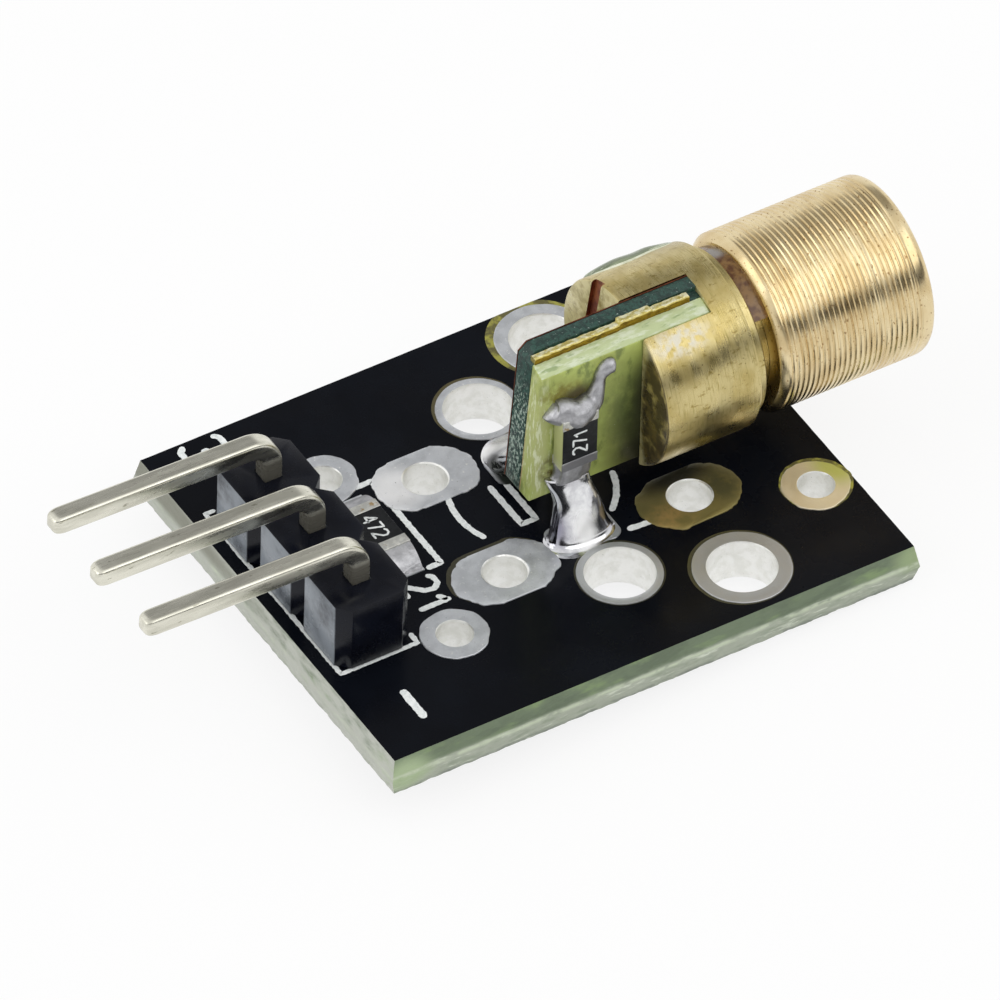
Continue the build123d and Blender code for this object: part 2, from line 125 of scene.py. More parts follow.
class Mask(Protocol):
    """Where something shows on a surface."""

    def link(self, tree: Tree) -> Link:
        """Build the mask's nodes.

        Args:
            tree: The node tree to add to.

        Returns:
            The link that carries the mask, from 0 to 1.
        """


@dataclass(frozen=True)
class Patches:
    """Soft random patches, each about size_mm along X, Y and Z.

    Nothing shows where the noise is under low, and everything where it is over high.
    """

    size_mm: Point
    low: float = 0.35
    high: float = 0.65
    detail: float = 4.0

    def link(self, tree: Tree) -> Link:
        """Build the mask's nodes.

        Args:
            tree: The node tree to add to.

        Returns:
            The link that carries the mask, from 0 to 1.
        """
        place = add_node(tree, "TexCoord")
        scale = tuple(1 / (s * MM) for s in self.size_mm)
        scaled = add_node(tree, "Mapping", inputs={"Vector": (place, "Object"), "Scale": scale})
        fineness = {"Scale": 1.0, "Detail": self.detail, "Roughness": NOISE_ROUGHNESS}
        cloud = add_node(tree, "TexNoise", inputs={"Vector": (scaled, 0)} | fineness)
        ends = {"Value": (cloud, 0), "From Min": self.low, "From Max": self.high}
        return add_node(tree, "MapRange", SMOOTH, ends), 0


def grained(x_mm: float, y_mm: float, z_mm: float) -> Patches:
    """Give patches that rise and fall all over, for a fine relief."""
    return Patches((x_mm, y_mm, z_mm), 0.2, 0.8)


@dataclass(frozen=True)
class Spot:
    """A soft-edged spot round a place, broken up by patches if it has them."""

    centre_mm: Point
    reach_mm: Point
    soft: float = 0.6
    broken: Patches | None = None

    def link(self, tree: Tree) -> Link:
        """Build the mask's nodes.

        Args:
            tree: The node tree to add to.

        Returns:
            The link that carries the mask, from 0 to 1.
        """
        place = add_node(tree, "TexCoord")
        centre = tuple(c * MM for c in self.centre_mm)
        reach = tuple(r * MM for r in self.reach_mm)
        at = {"Vector": (place, "Object"), "Location": centre, "Scale": reach}
        moved = add_node(tree, "Mapping", {"vector_type": "TEXTURE"}, at)
        far = add_node(tree, "VectorMath", {"operation": "LENGTH"}, {0: (moved, 0)})
        ends = {
            "Value": (far, "Value"), "From Min": 1 - self.soft, "From Max": 1.0,
            "To Min": 1.0, "To Max": 0.0,
        }
        mask = add_node(tree, "MapRange", SMOOTH, ends), 0
        if not self.broken:
            return mask
        parts = {0: mask, 1: self.broken.link(tree)}
        return add_node(tree, "Math", MULTIPLY, parts), 0


@dataclass(frozen=True)
class Band:
    """A band between two heights, broken up by patches if it has them."""

    low_mm: float
    high_mm: float
    soft_mm: float
    broken: Patches | None = None

    def link(self, tree: Tree) -> Link:
        """Build the mask's nodes.

        Args:
            tree: The node tree to add to.

        Returns:
            The link that carries the mask, from 0 to 1.
        """
        place = add_node(tree, "TexCoord")
        height = add_node(tree, "SeparateXYZ", inputs={0: (place, "Object")})
        parts = []
        for edge, sign in ((self.low_mm, 1), (self.high_mm, -1)):
            ends = {
                "Value": (height, "Z"),
                "From Min": (edge - sign * self.soft_mm) * MM,
                "From Max": (edge + sign * self.soft_mm) * MM,
            }
            parts.append((add_node(tree, "MapRange", SMOOTH, ends), 0))
        if self.broken:
            parts.append(self.broken.link(tree))
        mask = parts[0]
        for part in parts[1:]:
            mask = add_node(tree, "Math", MULTIPLY, {0: mask, 1: part}), 0
        return mask


@dataclass(frozen=True)
class Facing:
    """The faces that look one way, broken up by patches.

    A face is left out where the cosine of its turn from that way is under least,
    and is covered where it is over full.
    """

    way: Point
    broken: Patches
    least: float = 0.75
    full: float = 0.95

    def link(self, tree: Tree) -> Link:
        """Build the mask's nodes.

        Args:
            tree: The node tree to add to.

        Returns:
            The link that carries the mask, from 0 to 1.
        """
        shape = add_node(tree, "NewGeometry")
        ways = {0: (shape, "True Normal"), 1: self.way}
        turned = add_node(tree, "VectorMath", DOT_PRODUCT, ways)
        ends = {"Value": (turned, "Value"), "From Min": self.least, "From Max": self.full}
        faced = add_node(tree, "MapRange", inputs=ends)
        parts = {0: (faced, 0), 1: self.broken.link(tree)}
        return add_node(tree, "Math", MULTIPLY, parts), 0


@dataclass(frozen=True)
class Layer:
    """A colour that covers part of a surface; a dull one hides a metal's shine."""

    colour: str
    where: Mask
    dull: bool = False


@dataclass(frozen=True)
class Finish:
    """A surface: a real material, how it was made, and how even it is."""

    name: str
    colour: str
    layers: tuple[Layer, ...]
    roughness: float
    metallic: float = 0.0
    ior: float = 1.5
    specular: float = 0.5
    transmission: float = 0.0
    uneven: Patches = Patches((0.5, 0.5, 0.5))
    roughness_spread: float = 0.06
    grain: Patches = grained(0.1, 0.1, 0.1)
    grain_depth_mm: float = 0.002

    def material(self) -> bpy.types.Material:
        """Build the material: its colours in layers, an uneven gloss and a fine relief.

        Returns:
            The new material.
        """
        made = bpy.data.materials.new(self.name)
        made.use_nodes = True
        tree = made.node_tree
        tree.nodes.clear()
        ends = {
            "Value": self.uneven.link(tree),
            "To Min": max(LEAST_ROUGHNESS, self.roughness - self.roughness_spread),
            "To Max": self.roughness + self.roughness_spread,
        }
        rough = add_node(tree, "MapRange", inputs=ends)
        height = {"Height": self.grain.link(tree), "Distance": self.grain_depth_mm * MM, "Strength": 1.0}
        relief = add_node(tree, "Bump", inputs=height)
        sockets = {
            "Base Color": linear(self.colour),
            "Roughness": (rough, 0),
            "Normal": (relief, 0),
            "Metallic": self.metallic,
            "Transmission Weight": self.transmission,
        }
        if not self.metallic:
            sockets["IOR"] = self.ior
            sockets["Specular IOR Level"] = self.specular
        for layer in self.layers:
            mask = layer.where.link(tree)
            parts = {SHARE: mask, COLOUR_A: sockets["Base Color"], COLOUR_B: linear(layer.colour)}
            sockets["Base Color"] = add_node(tree, "Mix", MIX_COLOURS, parts), MIXED_COLOUR
            if layer.dull:
                parts = {SHARE: mask, NUMBER_A: sockets["Metallic"], NUMBER_B: DULLED_METAL}
                sockets["Metallic"] = add_node(tree, "Mix", MIX_NUMBERS, parts), 0
        shader = add_node(tree, "BsdfPrincipled", inputs=sockets)
        add_node(tree, "OutputMaterial", inputs={"Surface": (shader, 0)})
        return made


UP: Point = (0.0, 0.0, 1.0)
REARWARD: Point = (-1.0, 0.0, 0.0)
NEARWARD: Point = (0.0, -1.0, 0.0)
EVERYWHERE = Patches((50.0, 50.0, 50.0), -1.0, 0.0)


class Surface(Enum):
    """Every finish on the module."""

    # Liquid photo-imaged mask, oven cured: near black with a blue cast, low gloss
    SOLDER_MASK = Finish(
        "solder_mask", "#090b11", (Layer("#0c0f16", Patches((2.5, 2.5, 2.5))),),
        0.24, specular=0.11, uneven=Patches((2.0, 2.0, 2.0)),
        grain=grained(0.5, 0.5, 0.5), grain_depth_mm=0.0012,
    )
    # Glass-epoxy laminate, scored above and snapped below: grey green over pale torn fibres,
    # painted lighter on its rear faces as painted light, with a painted shadow along the top of its rear
    # edge
    SNAPPED_EDGE = Finish(
        "snapped_glass_epoxy", "#abb2a1",
        (
            Layer("#98a28e", Patches((0.8, 0.8, 0.25), 0.45, 0.66, 5.0)),
            Layer("#d3dac9", Patches((0.8, 0.8, 0.14), 0.55, 0.7, 5.0)),
            Layer("#848c80", Band(-0.1, 0.14, 0.08, Patches((0.6, 0.6, 0.3), 0.35, 0.6))),
            Layer("#6d7c62", Band(0.84, 2.0, 0.1)),
            Layer("#627059", Band(0.84, 2.0, 0.1, Patches((1.3, 1.3, 0.5), 0.44, 0.62))),
            Layer("#7f9468", Band(0.84, 2.0, 0.1, Patches((2.0, 2.0, 0.6), 0.5, 0.66))),
            Layer("#99ab7f", Spot((4.9, -7.0, 1.0), (1.1, 1.5, 0.8), 0.7)),
            Layer("#a9bb93", Spot((-12.9, -7.4, 0.7), (1.3, 1.3, 0.9), 0.7)),
            Layer("#c5cfb6", Band(0.68, 0.8, 0.06, Patches((0.6, 0.6, 0.3), 0.35, 0.55))),
            # Painted light: the rear faces paler grey
            Layer("#b7bab0", Facing(REARWARD, Patches((0.8, 0.8, 0.25), 0.15, 0.6, 5.0))),
            # Painted shadow: a darker strip along the top of the rear edge
            Layer("#858679", Spot((-13.3, 7.3, 1.1), (1.0, 9.0, 0.5), 0.6)),
        ),
        0.55, grain=grained(0.4, 0.4, 0.1), grain_depth_mm=0.014,
    )
    # Bare glass-epoxy laminate where the mask stops short: yellow olive, half gloss
    BARE_LAMINATE = Finish(
        "bare_glass_epoxy", "#a3a046",
        (
            Layer("#5f5a30", Patches((0.4, 0.4, 0.4), 0.4, 0.6)),
            Layer("#2f2d1d", Spot((-3.3, -4.075, 1.4), (2.2, 2.2, 1.0), 0.3)),
            Layer("#4f4828", Spot((-3.3, 4.075, 1.4), (2.2, 2.2, 1.0), 0.3)),
            Layer("#3f3c27", Spot((0.0, -5.7, 1.4), (2.2, 2.2, 1.0), 0.3)),
            Layer("#35321f", Spot((-6.25, -2.3, 1.4), (2.6, 2.2, 1.0), 0.3)),
        ),
        0.4, grain_depth_mm=0.003,
    )
    # Tin levelled by hot air on copper: pale grey metal with soft clouds and a few specks,
    # and flux on the oval pads at the head and at one grid hole; painted shade darkens the side
    # of the oval pad next to the head and the land by the far fillet
    LEVELLED_TIN = Finish(
        "hot_air_levelled_tin", "#d2d5d9",
        (
            Layer("#c4c7cb", Patches((0.6, 0.6, 0.6), 0.4, 0.62)),
            Layer("#f0f1ee", Patches((0.12, 0.12, 0.12), 0.6, 0.72)),
            Layer("#fdfdfd", Spot((-7.3, 2.4, 1.4), (1.4, 1.4, 0.5), 0.8)),
            Layer("#bfc1c2", Spot((-3.3, -4.075, 1.4), (1.6, 1.6, 0.3), 0.2)),
            Layer("#a2a3a5", Patches((0.07, 0.07, 0.07), 0.66, 0.72)),
            Layer("#938956", Spot((0.25, -2.3, 1.4), (2.3, 1.6, 1.0), 0.2)),
            Layer("#b89c62", Spot((-0.8, -2.8, 1.4), (1.2, 0.9, 1.0), 0.8,
                                  Patches((0.4, 0.4, 0.4), 0.35, 0.65))),
            Layer("#6b6742", Spot((1.3, -2.4, 1.4), (0.9, 1.0, 1.0), 0.8,
                                  Patches((0.4, 0.4, 0.4), 0.3, 0.6))),
            # Painted shade: the side of this oval pad next to the head
            Layer("#343120", Spot((0.25, -1.3, 1.4), (2.1, 0.95, 1.0), 0.8)),
            Layer("#eaddbd", Spot((3.78, -3.81, 1.4), (1.4, 1.4, 1.0), 0.3)),
            Layer("#c0c066", Spot((4.75, -3.35, 1.4), (1.15, 1.35, 1.0), 0.75), dull=True),
            Layer("#c9c7b2", Spot((-0.9, -4.9, 1.4), (1.5, 0.9, 1.0), 0.8)),
            # Painted shade: the land by the far fillet, under the teal board
            Layer("#2b302b", Spot((-3.9, 1.1, 1.4), (0.62, 1.1, 0.5), 0.4), dull=True),
            Layer("#b3b3b1", Spot((0.0, -5.7, 1.4), (1.75, 1.75, 0.3), 0.2)),
        ),
        0.42, metallic=0.65, uneven=Patches((0.4, 0.4, 0.4)), roughness_spread=0.06,
        grain=grained(0.09, 0.09, 0.09), grain_depth_mm=0.004,
    )
    # Tin on the drilled wall of a hole: white and bright, with fine dark pores
    PLATED_WALL = Finish(
        "plated_hole_wall", "#fdfdfa",
        (
            Layer("#f1f1ec", Patches((0.35, 0.35, 0.35), 0.4, 0.65)),
            Layer("#8b8c83", Patches((0.05, 0.05, 0.05), 0.68, 0.74, 3.0)),
        ),
        0.35, metallic=0.7, grain=grained(0.08, 0.08, 0.08), grain_depth_mm=0.006,
    )
    # Drawn brass wire with a thin tin plate: satin, faintly yellow, drawn along X,
    # and dull and painted dark where it rises out of the moulding, a painted reflection of the black
    # moulding
    PLATED_PIN = Finish(
        "tin_plated_pin", "#e4e2d4",
        (
            Layer("#cfcdbf", Patches((2.0, 0.3, 0.3))),
            Layer("#a5a392", Patches((0.5, 0.12, 0.12), 0.64, 0.7)),
            # Painted reflection: the dark moulding mirrored in the upright part of each pin
            Layer("#5f5d55", Band(3.6, 4.62, 0.16), dull=True),
        ),
        0.27, metallic=1.0, uneven=Patches((1.5, 0.3, 0.3)),
        grain=grained(1.6, 0.06, 0.06), grain_depth_mm=0.0006,
    )
    # Hand-soldered tin alloy, frozen bright: a near mirror with painted dark reflections down the
    # near fillet's sides, a painted white highlight down its centre, painted highlights on the far one,
    # and painted shade, mottled, at the far one's foot
    BRIGHT_SOLDER = Finish(
        "bright_solder", "#e6e7e8",
        (
            Layer("#c9c9cd", Patches((0.4, 0.4, 0.4))),
            # Painted reflections: the near fillet's dark sides
            Layer("#8f8d9d", Spot((-4.35, -2.1, 2.2), (0.5, 0.9, 1.1), 0.8)),
            Layer("#8f8d9d", Spot((-2.6, -2.1, 2.2), (0.5, 0.9, 1.1), 0.8)),
            # Painted highlight: a white flare down the near fillet's centre
            Layer("#ffffff", Spot((-3.5, -2.5, 1.9), (0.55, 0.8, 1.15), 0.75), dull=True),
            # Painted highlight: a white spot at the far fillet's lower tip
            Layer("#fbfbfb", Spot((-4.1, 2.3, 1.6), (0.5, 0.7, 0.5), 0.7), dull=True),
            # Painted highlight: the far fillet paler where it shows
            Layer("#d8d8d8", Spot((-3.9, 1.9, 2.2), (1.0, 1.2, 0.9), 0.8), dull=True),
            # Painted shade: dark at the far fillet's foot, by the teal board, mottled grey below
            Layer("#2c2f2c", Spot((-4.1, 1.15, 1.7), (0.8, 0.8, 0.75), 0.45), dull=True),
            Layer("#747772", Spot((-4.1, 1.15, 1.7), (0.8, 0.8, 0.75), 0.45,
                                  Patches((0.12, 0.12, 0.12), 0.52, 0.62)), dull=True),
        ),
        0.12, metallic=1.0, roughness_spread=0.04,
        grain=grained(0.4, 0.4, 0.4), grain_depth_mm=0.0015,
    )
    # Solder that cooled slowly: grey and grainy
    DULL_SOLDER = Finish(
        "dull_solder", "#bdbdc0",
        (
            Layer("#a2a2a5", Patches((0.3, 0.3, 0.3))),
            Layer("#8a8a88", Patches((0.08, 0.08, 0.08), 0.66, 0.72)),
        ),
        0.43, metallic=1.0,
        grain=grained(0.09, 0.09, 0.09), grain_depth_mm=0.008,
    )
    # Moulded glass-filled polyester: blue black, smooth from a polished mould, painted light grey
    # on its rear faces as painted light
    MOULDED_POLYESTER = Finish(
        "moulded_polyester", "#090b14",
        (
            Layer("#0e111b", Patches((1.2, 1.2, 1.2))),
            # Painted light: the rear faces lighter grey
            Layer("#868c93", Facing(REARWARD, Patches((1.5, 1.5, 1.5), 0.2, 0.62))),
        ),
        0.24, ior=1.58, specular=0.16, uneven=Patches((0.8, 0.8, 0.8)),
        grain=grained(0.08, 0.08, 0.08), grain_depth_mm=0.0008,
    )
    # Fired alumina: pale warm white, matt
    FIRED_ALUMINA = Finish(
        "fired_alumina", "#dcdcd2",
        (
            Layer("#cbbf9e", Patches((0.3, 0.3, 0.3), 0.5, 0.66)),
            Layer("#b4b97f", Spot((-4.3, -1.8, 5.3), (0.5, 1.0, 1.7), 0.6)),
        ),
        0.5,
    )
    # Screen-printed resin coat on the resistor: black, half gloss
    RESIN_COAT = Finish(
        "printed_resin_coat", "#0e1012", (Layer("#1a1c1f", Patches((0.2, 0.2, 0.2))),),
        0.33, specular=0.3,
    )
    # Barrel-plated tin ends: soft grey with a white bloom and a little brown flux
    PLATED_TIN = Finish(
        "barrel_plated_tin", "#cfcfc9",
        (
            Layer("#e6e6df", Patches((0.2, 0.2, 0.2), 0.45, 0.65)),
            Layer("#a98f62", Patches((0.3, 0.3, 0.3), 0.6, 0.7), dull=True),
            Layer("#8b8b8e", Spot((-3.53, -2.0, 4.35), (1.1, 0.8, 0.5), 0.5)),
        ),
        0.38, metallic=0.8, grain=grained(0.06, 0.06, 0.06), grain_depth_mm=0.004,
    )
    # Dark core laminate: teal green, mottled, with pale broken fibres
    TEAL_LAMINATE = Finish(
        "dark_glass_epoxy", "#18332d",
        (
            Layer("#2c5247", Patches((0.2, 0.2, 0.2), 0.42, 0.62)),
            Layer("#0c1d1c", Patches((0.2, 0.2, 0.2), 0.56, 0.7)),
            Layer("#9fb3a8", Patches((0.07, 0.07, 0.11), 0.66, 0.74, 2.0)),
            Layer("#a9bcae", Spot((-4.85, -0.45, 5.0), (0.35, 1.0, 3.4), 0.6,
                                  Patches((0.08, 0.08, 0.13), 0.48, 0.62, 2.0))),
            Layer("#6f746c", Spot((-4.95, -0.45, 3.0), (0.5, 1.0, 0.6), 0.7,
                                  Patches((0.1, 0.1, 0.1), 0.42, 0.6))),
        ),
        0.45, grain=grained(0.1, 0.1, 0.1), grain_depth_mm=0.01,
    )
    # Thin pale laminate: yellow green, whiter at its sawn edges, amber where flux ran, brown round
    # the blob's upper edge as flux and painted shade, and dark green beside the head as painted shadow of
    # the head
    PALE_LAMINATE = Finish(
        "pale_glass_epoxy", "#a6b15f",
        (
            Layer("#b3c168", Patches((0.9, 0.9, 0.7))),
            Layer("#7d8a48", Patches((0.4, 0.4, 0.9), 0.5, 0.68)),
            # Painted shadow: the head's shadow darkening the face towards it
            Layer("#505c2c", Spot((-1.2, -1.45, 5.2), (1.9, 0.6, 2.9), 0.9,
                                  Patches((0.6, 0.6, 0.9), 0.1, 0.6))),
            Layer("#1d2114", Spot((-0.9, -1.45, 3.4), (2.0, 0.8, 2.3), 0.85)),
            Layer("#373c22", Spot((-1.0, -1.45, 5.4), (0.7, 0.6, 2.6), 0.9)),
            Layer("#a58450", Spot((-4.85, -0.9, 5.2), (0.3, 0.08, 4.0), 0.4)),
            Layer("#b9bf7f", Spot((-4.6, -1.3, 5.2), (0.5, 1.2, 3.6), 0.8)),
            Layer("#dde3bd", Spot((-4.65, -1.3, 5.2), (0.7, 0.9, 3.6), 0.7,
                                  Patches((0.1, 0.1, 0.5), 0.5, 0.64))),
            # Flux round the blob, with painted shade along its upper edge
            Layer("#7a7426", Spot((-3.9, -1.45, 6.95), (1.2, 0.5, 0.75), 0.8,
                                  Patches((0.4, 0.4, 0.4), 0.3, 0.6))),
            Layer("#4d4520", Spot((-3.35, -1.45, 6.75), (0.8, 0.5, 0.42), 0.8)),
            Layer("#5d5226", Spot((-4.25, -1.45, 4.0), (0.5, 0.5, 0.8), 0.8,
                                  Patches((0.3, 0.3, 0.3), 0.35, 0.6))),
            Layer("#dfe3cf", Patches((0.05, 0.05, 0.05), 0.72, 0.76, 2.0)),
            Layer("#c2ce9d", Facing(UP, EVERYWHERE)),
            Layer("#dae2c6", Facing(UP, Patches((0.5, 0.14, 0.14), 0.45, 0.66, 4.0))),
            Layer("#9cae7c", Facing(UP, Patches((0.6, 0.16, 0.16), 0.54, 0.7, 4.0))),
        ),
        0.42, specular=0.4, grain=grained(0.3, 0.06, 0.3), grain_depth_mm=0.006,
    )
    # Rolled copper foil, tarnished: red brown
    COPPER_FOIL = Finish(
        "tarnished_copper_foil", "#8f5540", (Layer("#5f3628", Patches((0.4, 0.4, 0.4))),),
        0.4, metallic=0.9,
    )
    # Electroplated gold over nickel: soft yellow, with a painted highlight along its top and painted
    # shade on its near face
    PLATED_GOLD = Finish(
        "plated_gold", "#d8cb80",
        (
            Layer("#c0b05e", Patches((0.3, 0.12, 0.12))),
            # Painted highlight: pale patches on the top face
            Layer("#f3efc9", Facing(UP, Patches((0.2, 0.12, 0.12), 0.4, 0.6))),
            # Painted shade: the near face darker, mottled
            Layer("#93791f", Facing(NEARWARD, EVERYWHERE)),
            Layer("#6d571a", Facing(NEARWARD, Patches((0.3, 0.1, 0.06), 0.45, 0.6))),
        ),
        0.36, metallic=0.85, grain=grained(0.12, 0.12, 0.12), grain_depth_mm=0.01,
    )
    # Free-cutting brass, turned and sawn: satin, slightly olive, with flux haze at the slot, its rear
    # faces dull and pale as painted light, and painted shade on the rear face beside the slot's near side
    HOUSING_BRASS = Finish(
        "turned_brass", "#cebf8a",
        (
            Layer("#baa86d", Patches((0.8, 1.2, 1.2))),
            Layer("#9d8a50", Patches((0.25, 0.16, 0.16), 0.56, 0.7)),
            Layer("#6d5a2c", Patches((0.1, 0.1, 0.1), 0.69, 0.74, 2.0)),
            # Painted light: the rear faces dull and evenly pale
            Layer("#cdc38b", Facing(REARWARD, EVERYWHERE), dull=True),
            Layer("#a69a62", Facing(REARWARD, Patches((0.5, 0.5, 0.5), 0.48, 0.64)), dull=True),
            Layer("#e3dfb6", Facing(REARWARD, Patches((0.4, 0.4, 0.4), 0.6, 0.68)), dull=True),
            # Painted shade: the rear face darker beside the slot's near side, mottled
            Layer("#4a4025", Spot((-1.08, -2.35, 5.3), (0.09, 1.0, 3.6), 0.3), dull=True),
            Layer("#6a5c31", Spot((-1.08, -2.35, 5.3), (0.09, 1.0, 3.6), 0.3,
                                  Patches((0.4, 0.4, 0.4), 0.48, 0.66)), dull=True),
            Layer("#a39458", Patches((0.03, 0.6, 0.6), 0.52, 0.7)),
            Layer("#d9d4c2", Spot((0.0, -1.85, 7.65), (1.4, 0.65, 0.8), 0.8,
                                  Patches((0.3, 0.3, 0.3), 0.38, 0.62)), dull=True),
        ),
        0.3, metallic=1.0, uneven=Patches((0.5, 1.2, 1.2)),
        grain=grained(0.035, 0.7, 0.7), grain_depth_mm=0.0035,
    )
    # Free-cutting brass, turned in rings and tumbled: bright and pale, with tiny pits
    CAP_BRASS = Finish(
        "ringed_brass", "#e8d6ac",
        (
            Layer("#d6bf90", Patches((0.7, 1.5, 1.5))),
            Layer("#a3855a", Patches((0.08, 0.16, 0.16), 0.64, 0.7, 2.0)),
        ),
        0.27, metallic=1.0, uneven=Patches((0.8, 1.2, 1.2)),
        grain=grained(0.05, 1.0, 1.0), grain_depth_mm=0.0012,
    )
    # Brass down in the sawn notch, painted red brown as painted shade, lighter towards the rear
    STAINED_BRASS = Finish(
        "notch_brass_painted_shade", "#96562f",
        (
            Layer("#6a3320", Patches((0.4, 0.4, 0.4), 0.4, 0.64)),
            Layer("#a5734a", Spot((-0.95, 0.95, 7.6), (0.4, 0.2, 1.6), 0.6)),
        ),
        0.45, metallic=0.2,
    )
    # Anaerobic thread sealant, cured: amber brown with a cloudy grey patch, glossy
    SEALANT = Finish(
        "cured_sealant", "#a07a48",
        (
            Layer("#6d4526", Patches((0.35, 0.35, 0.35), 0.4, 0.62)),
            Layer("#a39d97", Spot((2.8, 0.9, 7.8), (0.6, 0.5, 0.6), 0.6)),
            Layer("#3a2a1c", Spot((2.85, -2.0, 6.6), (0.4, 0.25, 0.35), 0.5)),
        ),
        0.15, transmission=0.35,
    )
    # Ultraviolet-cured glue: clear, faintly green, with a smooth skin
    CLEAR_GLUE = Finish(
        "cured_clear_glue", "#94a07f",
        (
            Layer("#6f7a5f", Patches((0.9, 0.2, 0.2))),
            Layer("#cdd4b9", Patches((1.2, 0.08, 0.08), 0.56, 0.66)),
        ),
        0.06, ior=1.3, transmission=0.15, roughness_spread=0.02,
    )
    # The same glue at its thin near lip, paler as a painted highlight where it catches the light
    GLUE_LIP = Finish(
        "glue_lip_painted_highlight", "#e9ebd6", (Layer("#c9cdb0", Patches((0.5, 0.5, 0.5))),),
        0.12, ior=1.3,
    )
    # Moulded optical acrylic: clear and polished
    OPTICAL_ACRYLIC = Finish(
        "optical_acrylic", "#f6f9f9", (Layer("#eef4f5", Patches((1.0, 1.0, 1.0))),),
        0.03, ior=1.49, transmission=1.0, roughness_spread=0.01, grain_depth_mm=0.0001,
    )
    # Coiled stainless wire: bright steel
    SPRING_STEEL = Finish(
        "coiled_steel_wire", "#b5b7b9", (Layer("#9a9c9e", Patches((0.3, 0.3, 0.3))),),
        0.25, metallic=1.0,
    )
    # Cleaved semiconductor crystal: dark grey and shiny
    CRYSTAL = Finish(
        "cleaved_crystal", "#4a4c52", (Layer("#36383e", Patches((0.1, 0.1, 0.1))),),
        0.15, ior=3.5,
    )
    # Screen-printed epoxy ink: off white, matt, slightly broken
    SCREEN_INK = Finish(
        "screen_printed_ink", "#f7faf9",
        (
            Layer("#e3e8e7", Patches((0.12, 0.12, 0.12))),
            Layer("#9aa0a1", Patches((0.06, 0.06, 0.06), 0.69, 0.74, 2.0)),
        ),
        0.6, grain=grained(0.05, 0.05, 0.05), grain_depth_mm=0.006,
    )

    def paint(self) -> bpy.types.Material:
        """Give the surface's material, made once."""
        return bpy.data.materials.get(self.value.name) or self.value.material()


@dataclass
class Shape:
    """A mesh in the making, in millimetres; each face's tone says which finish it has."""

    points: list[Point] = field(default_factory=list)
    faces: list[Face] = field(default_factory=list)
    tones: list[int] = field(default_factory=list)

    def add(self, other: "Shape") -> "Shape":
        """Join another shape to this one.

        Args:
            other: The shape to add.

        Returns:
            This shape.
        """
        start = len(self.points)
        self.points.extend(other.points)
        self.faces.extend(tuple(i + start for i in face) for face in other.faces)
        self.tones.extend(other.tones)
        return self


def skin(
    rings: Sequence[Ring],
    loop: bool = False,
    caps: bool = True,
    tones: Sequence[int] = (),
) -> Shape:
    """Join closed rings of points, each to the next.

    Args:
        rings: The rings, all with as many points.
        loop: True if the last ring joins the first.
        caps: True if the end rings are closed.
        tones: The tone of each join; all 0 if empty.

    Returns:
        The shape.
    """
    count = len(rings[0])
    shape = Shape([p for ring in rings for p in ring])
    joins = len(rings) if loop else len(rings) - 1
    for i in range(joins):
        here, there = i * count, (i + 1) % len(rings) * count
        for j in range(count):
            k = (j + 1) % count
            shape.faces.append((here + j, here + k, there + k, there + j))
            shape.tones.append(tones[i] if tones else 0)
    if caps and not loop:
        shape.faces.append(tuple(reversed(range(count))))
        shape.faces.append(tuple(range((len(rings) - 1) * count, len(rings) * count)))
        shape.tones += [0, 0]
    return shape


def place_piece(
    name: str,
    shape: Shape,
    surfaces: Sequence[Surface],
    stands_for: Sequence[str] = (),
    sharp_deg: float = 32.0,
) -> bpy.types.Object:
    """Make an object of a shape, dress it and hang it on the module.

    Args:
        name: The piece's name.
        shape: Its shape in millimetres.
        surfaces: Its finishes, by tone.
        stands_for: The CAD nodes that it takes the place of.
        sharp_deg: Edges sharper than this stay crisp.

    Returns:
        The new object.
    """
    mesh = bpy.data.meshes.new(name)
    mesh.from_pydata([Vector(p) * MM for p in shape.points], [], shape.faces)
    for surface in surfaces:
        mesh.materials.append(surface.paint())
    mesh.polygons.foreach_set("material_index", shape.tones)
    tidy = bmesh.new()
    tidy.from_mesh(mesh)
    bmesh.ops.remove_doubles(tidy, verts=tidy.verts, dist=WELD_MM * MM)
    bmesh.ops.recalc_face_normals(tidy, faces=tidy.faces)
    tidy.to_mesh(mesh)
    tidy.free()
    mesh.shade_smooth()
    mesh.set_sharp_from_angle(angle=math.radians(sharp_deg))
    made = bpy.data.objects.new(name, mesh)
    bpy.context.scene.collection.objects.link(made)
    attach(made, BODY)
    if stands_for:
        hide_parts(*stands_for)
    log.info("%s: %d faces", name, len(mesh.polygons))
    return made


def dress_node(node: str, surface: Surface) -> None:
    """Give a finish to a CAD node that keeps its shape.

    Args:
        node: The CAD node.
        surface: Its finish.
    """
    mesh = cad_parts[node].data
    mesh.materials.clear()
    mesh.materials.append(surface.paint())
    log.info("%s: dressed as it is", node)


def softened(node: str, edge_mm: float, steps: int = 2) -> Shape:
    """Copy a node's flat-sided shape with its edges rounded.

    Args:
        node: The CAD node.
        edge_mm: How wide each rounded edge is.
        steps: Faces across a rounded edge.

    Returns:
        The copy.
    """
    work = bmesh.new()
    work.from_mesh(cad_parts[node].data)
    bmesh.ops.remove_doubles(work, verts=work.verts, dist=COPY_WELD_MM * MM)
    flat = math.radians(2)
    bmesh.ops.dissolve_limit(work, angle_limit=flat, verts=work.verts, edges=work.edges)
    crisp = math.radians(25)
    sharp = [e for e in work.edges if len(e.link_faces) == 2 and e.calc_face_angle() > crisp]
    bmesh.ops.bevel(
        work, geom=sharp, offset=edge_mm * MM, segments=steps, profile=0.5, affect="EDGES",
        clamp_overlap=True,
    )
    work.verts.index_update()
    points = [tuple(v.co / MM) for v in work.verts]
    faces = [tuple(v.index for v in f.verts) for f in work.faces]
    work.free()
    return Shape(points, faces, [0] * len(faces))


def circle(x: float, y: float, radius: float, count: int) -> list[Flat]:
    """Give points round a circle."""
    turns = [2 * math.pi * k / count for k in range(count)]
    return [(x + radius * math.cos(t), y + radius * math.sin(t)) for t in turns]


